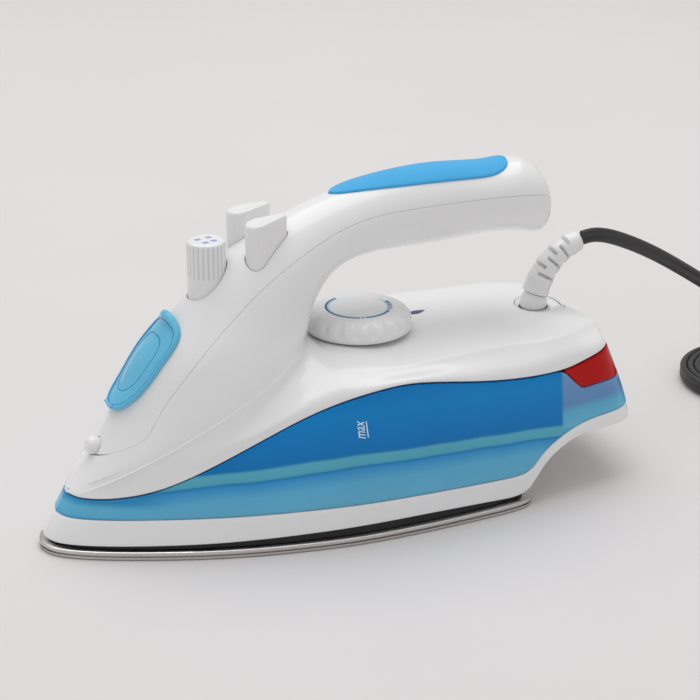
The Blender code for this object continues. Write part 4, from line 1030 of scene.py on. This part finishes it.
def make_liner(places):
    """The tank's inner wall, stepped in above a ledge that runs round it."""
    places = places[places < 0.9999]
    places = np.concatenate([places, [1.0]])
    bottom = np.array([hull_edge(p, TANK_FOOT, 0.8)[2] for p in places])
    top = np.array([hull_edge(p, TANK_RIM, -0.9)[2] for p in places])
    x = hull(places, 30.0 + 0 * places)[:, 0]
    deep = smooth((top - 39.5) / 9.0) * smooth((99.5 - x) / 2.5) + 0.25 * smooth((x - 99) / 2)
    ledge = np.minimum(np.maximum(38.0 + 0 * top, bottom + 2), top - 1.4)
    steps = [(0.0, 3.0, 0), (0.5, 3.0, 0), (0.93, 3.0, 0), (1.0, 3.2, 0), (1.0, 11.0, 0.02),
             (1.0, 12.0, 0.06), (1.0, 12.3, 0.5), (1.0, 12.0, 1.0)]
    heights, insets = [], []
    for low, inset, high in steps:
        heights.append(bottom + (ledge - bottom) * low + (top - ledge) * high)
        insets.append(3.0 + (inset - 3.0) * deep)
    heights, insets = np.array(heights).T, np.array(insets).T
    where = np.broadcast_to(places[:, None], heights.shape)
    outer = hull_points(where, heights, insets)
    inner = hull_points(where, heights, insets + 1.0)
    look = finish("liner_with_painted_highlight", (0.3, 0.6, 0.9), 0.35, mottle=0.05, scale=28, grain=0.1,
                  grain_scale=300, paint=paint_liner_with_ledge_highlight)
    piece("tank_inner_wall", half_shell(outer, inner), look, "iron")


def hull_mark(points, width):
    """Thin printed line on the tank's near side, through (place, height) points."""
    points = np.array(points)
    where = hull_points(points[:, 0], points[:, 1], 0 * points[:, 0] - 0.05)
    inside = hull_points(points[:, 0], points[:, 1], 0 * points[:, 0] + 1)
    return ribbon(where, unit(where - inside), width, 0.1)


def make_level_mark():
    """The fill mark on the tank's near side: a word run upward with a line along its foot."""
    ink = finish("mark_ink", (0.75, 0.93, 1.0), 0.4, mottle=0.05, scale=300, grain=0.05)
    foot, top = np.array([0.4118, 50.2]), np.array([0.4052, 57.7])
    line = hull_mark([foot + (top - foot) * s for s in np.linspace(0, 1, 8)], 0.45)
    text = bpy.data.curves.new("level_word", "FONT")
    text.body = "max"
    text.extrude = 0.05
    made = bpy.data.objects.new("level_word", text)
    bpy.context.scene.collection.objects.link(made)
    graph = bpy.context.evaluated_depsgraph_get()
    mesh = bpy.data.meshes.new_from_object(made.evaluated_get(graph))
    bpy.data.objects.remove(made)
    bm = bmesh.new()
    bm.from_mesh(mesh)
    flat = np.array([vert.co for vert in bm.verts])
    low, size = flat.min(axis=0), flat.max(axis=0) - flat.min(axis=0)
    start, run, rise = np.array([0.4084, 49.8]), np.array([-0.0064, 7.85]), np.array([-0.0115, 0.8])
    for vert, (a, b, c) in zip(bm.verts, (flat - low) / size):
        place, z = start + run * a + rise * b
        vert.co = hull_points(np.array([place]), np.array([z]), np.array([-0.05 * c]))[0]
    piece("level_mark", merged(line, bm), ink, "iron", angle=60)


# ---- body, cover and deck

SEAM_ROUND = 0.16


def stations(*runs):
    """Places through (first, last, count) runs that follow each other."""
    made = list(np.linspace(*runs[0]))
    for run in runs[1:]:
        made += list(np.linspace(*run)[1:])
    return made


def make_body(white):
    """The shell and the cover that meets it at the seam, with their holes cut."""
    deck = stations((0, 3, 26), (3, 11.6, 120), (11.6, NOSE_RIB, 16))
    rise = stations((NOSE_RIB, SEAM_START, 14))[1:]
    handle = [SEAM_START + d for d in (0.004, 0.009, 0.015, 0.022, 0.03, 0.04, 0.052, 0.067, 0.085,
                                       0.11, 0.15, 0.2, 0.27, 0.35, 0.43)]
    handle += stations((SEAM_START + 0.5, 25, 120), (25, 26.3, 22), (26.3, LAST_RIB, 16))

    def none(u):
        return 0.0

    def high(u):
        return 1.0 if u <= SEAM_START else seam_edge(u, -1)

    def high_round(u):
        if u <= SEAM_START:
            return 0.9 * float(smooth((NOSE_RIB - u) / 0.5))
        return SEAM_ROUND * float(smooth((u - SEAM_START) / 0.2))

    shell = half_shell(*body_grids(deck + rise + handle, none, high, 44, none, high_round))
    body = piece("body", shell, white, "iron", ("body_shell",), merge=0.006)
    hole = turned([(12.45, 66), (12.45, 85)], (middle_mm("swivel_collar")[0], 0, 0), segments=96)
    nozzle = turned([(NOZZLE_HOLE, -12), (NOZZLE_HOLE, 12)], NOZZLE_AT, NOZZLE_AXIS, 48)
    carve(body, cutter(hole), cutter(nozzle))
    places = [u for u in handle if u > SEAM_START + 0.035]
    shell = half_shell(*body_grids(places, lambda u: seam_edge(u, 1), lambda u: 1.0, 34,
                                   lambda u: SEAM_ROUND, none))
    cover = piece("cover", shell, white, "iron", ("top_cover",), merge=0.006)
    knob = middle_mm("steam_knob")
    cutters = [turned([(9.15, 90), (9.15, 150)], (knob[0], knob[1], 0), segments=96),
               turned([(NOZZLE_HOLE, -12), (NOZZLE_HOLE, 12)], NOZZLE_AT, NOZZLE_AXIS, 48),
               turned([(8.4, -14), (8.4, 14)], (-94.0, 0, 86.0), (-0.83, 0, 0.56), 48)]
    cutters += [button_shape(side, 0.33, 90, None) for side in (-1, 1)]
    carve(cover, *(cutter(c) for c in cutters))


def make_grip():
    """The soft pad on the handle, with a rolled edge."""
    outline = along([(0, 0), (1.5, 2.3), (7.5, 6.0), (22, 10.2), (48, 13.2), (71, 13.1),
                     (82.5, 10.8), (88.2, 6), (89.8, 0)])
    start = box_mm("grip_insert")[0][0]
    handle_u = np.linspace(18, 25, 211)
    handle_x = np.array([rib_ridge(u)[0] for u in handle_u])
    outer, inner = [], []
    for x, half in outline(np.linspace(0, 1, 130)):
        u = float(np.interp(x + start, handle_x, handle_u))
        width = np.linalg.norm(body_row(u, 1.0) - body_row(u, 0.96))
        shares = np.concatenate([[0, 0.02, 0.05, 0.1], np.linspace(0.16, 1, 12)])
        reach = max(half, 0) * (1 - shares)
        v = 1 - 0.04 * reach / width
        points, normals = body_row(u, v), body_normals(u, v)
        climb = np.minimum(shares * max(half, 0.3) / 1.1, 1)
        lift = 0.25 + 0.8 * np.sqrt(np.clip(1 - (1 - climb) ** 2, 0, 1))
        outer.append(points + normals * lift[:, None])
        inner.append(points + normals * 0.12)
    look = finish("grip_rubber", (0.06, 0.43, 0.80), 0.72, mottle=0.03, scale=40, grain=0.5,
                  grain_scale=1700, sheen=0.15, specular=0.3, depth=0.00015)
    piece("grip_pad", half_shell(np.array(outer), np.array(inner)), look, "iron", ("grip_insert",))


# ---- filler cover

ridge_us = np.linspace(NOSE_RIB, NOSE_RIB + 6, 61)
ridge_points = np.array([rib_ridge(u) for u in ridge_us])
ridge_run = travelled(ridge_points)
ridge_u = spline(ridge_run, ridge_us)
RIDGE_MIDDLE = float(np.interp(82.5, ridge_points[:, 1], ridge_run))
CAP_LENGTH, CAP_WIDTH, CAP_SHIFT = 24.5, 15.0, -0.5
CAP_END = -24.4  # just past the hinge, so that the cap's end clears the cover as it opens


def ridge_patch(s, t, height):
    """Points above the ridge: s along it from the filler cover's middle, t round it."""
    made = []
    for a, b, h in zip(s, t, height):
        u = float(ridge_u(a + RIDGE_MIDDLE)[0])
        width = np.linalg.norm(body_row(u, 1.0) - body_row(u, 0.9))
        v = np.array([1 - 0.1 * abs(b) / width])
        point = (body_row(u, v) + body_normals(u, v) * h)[0]
        made.append(point * (1, 1 if b <= 0 else -1, 1))
    return np.array(made)


def cap_outline(share, angle):
    """Places along and round the ridge of an oval with blunt ends."""
    along_ridge = np.sign(np.cos(angle)) * np.abs(np.cos(angle)) ** 0.8
    round_ridge = np.sign(np.sin(angle)) * np.abs(np.sin(angle)) ** 0.8
    return CAP_LENGTH * share * along_ridge + CAP_SHIFT, CAP_WIDTH * share * round_ridge


def make_filler():
    """The see-through cap: a raised rim, a dished top with an inner step, a lip and a knuckle, and
    dark ribbons of painted shade along two of its steps.
    """
    angle = circle(96)
    profile = [(1.0, 0.45), (0.99, 1.0), (0.975, 1.7), (0.955, 2.1), (0.93, 2.25), (0.91, 2.15),
               (0.895, 1.8), (0.875, 1.45), (0.85, 1.3), (0.8, 1.25), (0.74, 1.25), (0.68, 1.25),
               (0.64, 1.15), (0.60, 0.9), (0.56, 0.75), (0.5, 0.75), (0.4, 0.85), (0.28, 0.95),
               (0.15, 1.0), (0.02, 1.05)]
    top, under = [], []
    for share, height in profile:
        s, t = cap_outline(share, angle)
        lip = np.exp(-((angle - 2 * math.pi * (angle > math.pi)) / 0.36) ** 2)
        lip = lip * smooth((share - 0.84) / 0.1)
        s = np.maximum(s, CAP_END)
        knuckle = 1.1 * np.exp(-(((s + 24) / 7.0) ** 2))
        high = height + 3.0 * lip + knuckle
        edge_lip = lip * smooth((share - 0.9) / 0.08)
        reach = 1 + 0.07 * edge_lip
        top.append(ridge_patch(s * reach, t, high))
        floor = np.where(s < -0.8 * CAP_LENGTH, 1.5, 0.3) + 2.2 * edge_lip
        under.append(ridge_patch(s * reach, t, np.maximum(high - 1.6, floor) if share < 0.86
                                 else np.minimum(floor, high - 0.15)))
    cap = clear_look("cap_clear", (0.2, 0.72, 1.0), 0.07, 0.3, 0.4)
    piece("filler_cap", loft(top[::-1] + under), cap, "filler_lid", ("filler_cover",), angle=50)
    # Dark blue ribbons along two rows of the top are painted shade: they stand in for the dark
    # edges the see-through cap shows at its steps.
    shade_lines = []
    for row, width in ((6, 0.8), (13, 0.5)):
        path = np.concatenate([top[row], top[row][:2]])
        shade_lines.append(ribbon(path, (-0.87, 0, 0.5), width, 0.05))
    piece("filler_cap_painted_edge_shade", merged(*shade_lines),
          clear_look("cap_painted_edge_shade", (0.01, 0.26, 0.66), 0.1, 0.2, 0.3), "filler_lid")
    pin = turned([(0.1, -4.2), (0.75, -4.1), (0.75, 4.1), (0.1, 4.2)],
                 middle_mm("filler_cover_pin"), (0, 1, 0), 24)
    piece("cap_pin", pin, cap, "iron", ("filler_cover_pin",))


# ---- knob, buttons, dial

def make_knob(white):
    knob = middle_mm("steam_knob")
    low, high = box_mm("steam_knob")
    radius, top = 8.75, high[2]

    def flutes(reach, height, angle):
        if reach < radius - 0.2:
            return 0 * angle
        fade = smooth((height - 117.6) / 1.2) * smooth((top - 1.0 - height) / 0.9)
        groove = np.clip(np.cos(angle * 24) * 1.7 - 0.5, 0, 1)
        return -0.75 * groove * fade

    profile = [(2.6, 112), (2.6, low[2]), (8.0, low[2]), (radius, low[2] + 1), (radius, 117.4)]
    profile += [(radius, z) for z in np.linspace(117.8, top - 1.9, 16)]
    profile += [(radius - 0.06, top - 1.5), (radius - 0.3, top - 0.9), (radius - 0.8, top - 0.45),
                (radius - 1.5, top - 0.2), (radius - 2.1, top - 0.15), (radius - 2.5, top - 0.35),
                (radius - 3.0, top - 0.4), (1.0, top - 0.35)]
    piece("knob", turned(profile, (knob[0], knob[1], 0), segments=240, wave=flutes), white,
          "steam_control", ("steam_knob",))
    ink = finish("knob_ink", (0.16, 0.28, 0.70), 0.45, mottle=0.1, scale=500, grain=0.05)
    marks = []
    level = top - 0.36
    for turn in (0.9, 2.6, 4.3, 5.6):
        for shift in (-0.75, 0.0, 0.75):
            s = np.linspace(-1.3, 1.3, 20)
            path = np.stack([knob[0] + 3.6 * math.cos(turn) + s,
                             knob[1] + 3.6 * math.sin(turn) + shift + 0.22 * np.sin(s * 4),
                             0 * s + level], -1)
            marks.append(ribbon(path, (0, 0, 1.0), 0.24, 0.06))
    piece("knob_marks", merged(*marks), ink, "steam_control")


def button_outline(extra):
    """Teardrop outline: a wide arc in front and a tight one behind."""
    made = []
    for middle, radius, first, last, count in ((BUTTON_FRONT, BUTTON_ROUND + extra, 78, 282, 30),
                                               (BUTTON_BACK, BUTTON_TIP + extra, -72, 72, 12)):
        for angle in np.linspace(math.radians(first), math.radians(last), count):
            made.append((middle + radius * math.cos(angle), radius * math.sin(angle)))
    return np.array(made)


def button_shape(side, extra, low, high):
    """A teardrop button with a sloping, slightly dished top, or the hole that it stands in."""
    x, y = button_outline(extra).T
    y = y + side * (BUTTON_SIDE - 0.08 * (x - BUTTON_FRONT))
    if high is None:
        return loft([np.stack([x, y, 0 * x + z], -1) for z in (low, 160)])
    centre = np.array([x.mean(), y.mean()])
    rings = []
    for share, drop in ((0.94, None), (1, 21.6), (1, 12), (1, 2.2), (0.995, 1.5), (0.98, 0.9),
                        (0.95, 0.4), (0.90, 0.1), (0.84, 0.0), (0.6, 0.15), (0.3, 0.3),
                        (0.05, 0.35)):
        xs = centre[0] + (x - centre[0]) * share
        ys = centre[1] + (y - centre[1]) * share
        zs = low + 0 * xs if drop is None else high + (xs - BUTTON_FRONT) * 0.14 - drop
        rings.append(np.stack([xs, ys, zs], -1))
    return loft(rings)


def make_buttons(white):
    """The two keys, each above a coil."""
    steel = steel_look("coil_steel", 0.3)
    for side, name in ((-1, "spray"), (1, "burst")):
        low = box_mm(f"{name}_button")[0]
        piece(f"{name}_key", button_shape(side, 0, low[2], BUTTON_TOP), white, f"{name}_push",
              (f"{name}_button",), angle=40)
        low, high = box_mm(f"{name}_button_spring")
        middle, wire = (low + high) / 2, 0.5
        turn = np.linspace(0, 8 * math.pi, 161)
        radius = (high[0] - low[0]) / 2 - wire
        coil = np.stack([middle[0] + radius * np.cos(turn), middle[1] + radius * np.sin(turn),
                         np.linspace(low[2] + wire, high[2] - wire, 161)], -1)
        made = piece(f"{name}_coil", pipe(coil, wire, 10), steel, "iron",
                     (f"{name}_button_spring",))
        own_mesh(made)


def make_dial(white):
    centre = middle_mm("thermostat_dial")
    low, high = box_mm("thermostat_dial")
    top = high[2]

    def scallops(reach, height, angle):
        if reach < 20.5 or height < 83:
            return 0 * angle
        fade = smooth((height - 83.2) / 1.6) * smooth((90.6 - height) / 1.5)
        return -1.15 * fade * (0.5 - 0.5 * np.cos(angle * 20)) ** 1.8

    profile = rounded([(1.0, low[2]), (22.6, low[2]), (24.6, 81.2), (25.1, 82.8), (24.9, 86),
                       (23.6, 88.7), (20.4, 90.5), (17.4, top - 0.05), (16.6, top - 0.25),
                       (1.0, top - 0.35)], 5)
    fine = along([(r, z, 0) for r, z in profile])(np.linspace(0, 1, 90))[:, :2]
    piece("dial", turned([tuple(p) for p in fine], (centre[0], 0, 0), segments=240, wave=scallops),
          white, "heat_dial", ("thermostat_dial",), angle=50)
    ink = finish("dial_ink", (0.035, 0.13, 0.27), 0.4, mottle=0.1, scale=400, grain=0.05)
    pale = finish("dial_band", (0.45, 0.70, 0.84), 0.35, mottle=0.04, scale=200, grain=0.05)

    def arc(start, end, radius, width, lift, count=60):
        angle = np.radians(np.linspace(start, end, count))
        path = np.stack([centre[0] + radius * np.cos(angle), radius * np.sin(angle),
                         0 * angle + top - 0.33], -1)
        return ribbon(path, (0, 0, 1.0), width, lift)

    marks = [arc(-250, -112, 14.9, 1.1, 0.12), arc(-101, -44, 14.9, 1.1, 0.12),
             arc(-108.5, -104.5, 14.9, 1.1, 0.12, 8)]
    for k, angle in enumerate((-37, -30, -22, -14, -6, 2)):
        turn = math.radians(angle)
        path = [(centre[0] + r * math.cos(turn), r * math.sin(turn), top - 0.33)
                for r in (13.9, 15.9)]
        marks.append(ribbon(path, (0, 0, 1.0), 0.6 + 0.16 * k, 0.12))
    piece("dial_marks", merged(*marks), ink, "heat_dial")
    piece("dial_ring", arc(-252, 24, 13.8, 0.9, 0.05, 90), pale, "heat_dial")


def deck_height(x, y):
    """Height of the body's outer face under a point."""
    hit, place, _, _ = bpy.data.objects["body"].ray_cast(Vector((x * MM, y * MM, 0.1)), (0, 0, -1))
    return place.z / MM if hit else 78.0


def make_index_mark():
    """The leaf-shaped pointer printed on the deck beside the dial."""
    low, high = np.array([43.5, 9.2]), np.array([53.5, 11.6])
    axis = high - low
    across = unit(np.array([-axis[1], axis[0]]))
    top = []
    for share in np.linspace(0, 1, 24):
        half = 2.1 * math.sin(math.pi * share ** 0.8) ** 0.9 if 0 < share < 1 else 0
        row = [low + axis * share + across * half * k for k in (-1, -0.5, 0, 0.5, 1)]
        top.append([(x, y, deck_height(x, y) + 0.12) for x, y in row])
    top = np.array(top)
    around = np.concatenate([top, (top - (0, 0, 0.42))[:, ::-1]], axis=1)
    ink = finish("index_ink", (0.06, 0.08, 0.17), 0.4, mottle=0.1, scale=300, grain=0.05)
    piece("index_mark", loft(around), ink, "iron", angle=50)


# ---- nozzle, swivel, heel

def make_nozzle(white):
    profile = rounded([(1.2, -7.0), (4.2, -7.0), (4.2, 1.0), (3.9, 2.6), (2.8, 3.9), (1.0, 4.4)], 6)
    profile += [(0.7, 4.35), (0.45, 3.6), (0.2, 3.5)]
    piece("nozzle", turned(profile, NOZZLE_AT, NOZZLE_AXIS, 64), white, "iron", ("spray_nozzle",))


def make_swivel(white):
    """A dish flush with the deck, the ball that turns in it and the slotted guard."""
    centre = middle_mm("swivel_collar")[0]
    angle = circle(96)
    spokes = np.stack([np.cos(angle), np.sin(angle)], -1)
    brim = np.array([deck_height(centre + 12.9 * a, 12.9 * b) for a, b in spokes])
    rings = []
    for share, drop in ((1, 4.0), (1, 0.45), (0.985, 0.15), (0.95, 0.0), (0.85, 0.1), (0.6, 0.35),
                        (0.3, 0.7), (0.1, 0.9), (0.0, 1.2), (0.0, 3.0)):
        outer = np.array([centre, 0]) + spokes * 12.1
        inner = np.array([BALL_X, 0]) + spokes * (BALL_RADIUS + 0.45)
        place = outer * share + inner * (1 - share)
        rings.append(np.concatenate([place, (brim - 0.05 - drop)[:, None]], axis=1))
    piece("socket_dish", loft(rings, loop=True), white, "iron", ("swivel_collar",))
    ball = [(BALL_RADIUS * math.sin(a), -BALL_RADIUS * math.cos(a))
            for a in np.linspace(0.15, 2.2, 40)]
    piece("ball", turned(ball, (BALL_X, 0, BALL_Z), (0.3, 0, 0.95), 80), white, "cord_swivel",
          ("cord_swivel_ball",))
    route = along([(106.8, 0, 82.9), (108.4, 0, 87.5), (111.9, 0, 94), (117.2, 0, 99.8),
                   (123.3, 0, 103.8), (129.8, 0, 106.2)])(np.linspace(0, 1, 260))
    run = travelled(route)
    angle = circle(80)
    tangents = unit(np.gradient(route, axis=0))
    side = np.array([0, -1.0, 0])
    slots = [(0.27, 0), (0.375, 1), (0.49, 0), (0.595, 1), (0.70, 0), (0.80, 1)]
    rings = []
    for point, tangent, share in zip(route, tangents, run / run[-1]):
        up = unit(np.cross(side, tangent))
        reach = 6.45 - 1.3 * share + 0.15 * math.cos(share * 9.4 * math.pi) + 0 * angle
        for place, turn in slots:
            gap = math.exp(-(((share - place) / 0.019) ** 6))
            soft = smooth((np.cos(2 * angle - turn * math.pi) + 0.45) / 0.3)
            reach = reach - 3.2 * gap * soft
        end = min(share, 1 - share) * run[-1]
        reach = reach - 0.7 * float(smooth(1 - end / 0.9))
        rings.append(point + (np.cos(angle)[:, None] * side + np.sin(angle)[:, None] * up)
                     * reach[:, None])
    piece("guard", loft(rings), white_look("guard_white", 0.95, 0.3), "cord_swivel",
          ("cord_guard",), angle=60)


def heel_grids(inset, lift, rise):
    """Upper and lower grids of a plate that closes the undercut along the skirt's edge."""
    places = hull_stations(plan_place(74), 1.0, 60)
    grids = []
    for extra in (lift + rise, lift):
        rows = []
        for place in places:
            z = hull_edge(place, SKIRT_EDGE, extra)[2]
            edge = hull_points(np.array([place]), np.array([z]), np.array([inset]))[0]
            rows.append([(edge[0], edge[1] * k / 10, z) for k in range(11)])
        grids.append(np.array(rows))
    return grids


def make_heel(white):
    """The panel under the heel and its two cross-head screws."""
    cover = piece("heel_panel", half_shell(*heel_grids(WALL + 0.9, 0.2, 2.0)), white, "iron",
                  ("heel_cover",))
    cutters = [turned([(2.3, 24), (2.3, 36)], (118, side * 30, 0), segments=32) for side in (-1, 1)]
    carve(cover, cutter(merged(*cutters)))
    steel = finish("screw_steel", (0.55, 0.55, 0.56), 0.3, mottle=0.08, scale=400, grain=0.2,
                   grain_scale=3000, metallic=1.0)
    for side, name in ((-1, "near"), (1, "far")):
        low, high = box_mm(f"heel_cover_screw_{name}")
        x, y = (low[0] + high[0]) / 2, (low[1] + high[1]) / 2
        profile = rounded([(0.2, low[2]), (2.6, low[2]), (3.8, low[2] + 1.0), (3.8, 28.4),
                           (1.9, 28.6), (1.9, high[2]), (0.2, high[2])], 4)
        screw = piece(f"screw_{name}", turned(profile, (x, y, 0), segments=48), steel, "iron",
                      (f"heel_cover_screw_{name}",))
        cross = []
        for half_x, half_y in ((2.1, 0.4), (0.4, 2.1)):
            corners = [(-half_x, -half_y), (half_x, -half_y), (half_x, half_y), (-half_x, half_y)]
            cross.append([(x + a, y + b) for a, b in corners])
        levels = (low[2] - 1, low[2] + 0.9)
        carve(screw, *(cutter(loft([[(a, b, z) for a, b in ring] for z in levels]))
                       for ring in cross))


# ---- the rest


def finish_cad_nodes():
    """Materials for the CAD nodes that stay: metal, moulded and sleeved parts inside the shell."""
    looks = [
        (finish("brass", (0.62, 0.44, 0.18), 0.28, mottle=0.08, scale=120, grain=0.15,
                grain_scale=1600, metallic=1.0),
         "steam_valve_rod", "steam_valve_seat"),
        (finish("blade_plate", (0.66, 0.62, 0.55), 0.22, mottle=0.05, scale=200, grain=0.12,
                grain_scale=1800, stretch=(0.2, 2, 2), metallic=1.0),
         "plug_blade_near", "plug_blade_far"),
        (steel_look("inner_steel", 0.32), "dial_spindle", "heating_element", "thermal_fuse"),
        (finish("cast_alloy", (0.42, 0.42, 0.43), 0.55, mottle=0.12, scale=80, grain=0.8,
                grain_scale=500, metallic=0.9, depth=0.0003),
         "heater_casting", "steam_chamber_cover", "thermostat"),
        (finish("shield_black", (0.012, 0.012, 0.013), 0.55, mottle=0.2, scale=70, grain=0.4,
                grain_scale=900),
         "heat_shield"),
        (clear_look("inner_clear", (0.35, 0.68, 0.92), 0.12, 0.7), "tank_rear_wall"),
        (clear_look("hose_clear", (0.8, 0.84, 0.86), 0.2, 0.5), "spray_hose"),
        (finish("glass_sleeve", (0.62, 0.56, 0.44), 0.8, mottle=0.15, scale=500, grain=0.8,
                grain_scale=2400, stretch=(1, 2, 2), sheen=0.2),
         "heater_lead_near", "heater_lead_far", "thermostat_lead_near", "thermostat_lead_far"),
        (clear_look("neon_glass", (0.95, 0.55, 0.35), 0.08, 0.6), "pilot_lamp")]
    inner = finish("inner_moulding", (0.72, 0.73, 0.74), 0.45, mottle=0.03, scale=60, grain=0.2,
                   grain_scale=900)
    chosen = {name: look for look, *names in looks for name in names}
    for name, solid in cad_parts.items():
        for slot in solid.material_slots:
            slot.material = chosen.get(name, inner)


def main():
    make_camera()
    make_studio()
    make_cord()
    finish_cad_nodes()
    white = white_look("white_gloss")
    make_sole()
    make_hull(white)
    make_level_mark()
    make_body(white)
    make_index_mark()
    make_grip()
    make_filler()
    make_knob(white)
    make_buttons(white)
    make_dial(white)
    make_nozzle(white)
    make_swivel(white)
    make_heel(white)


main()
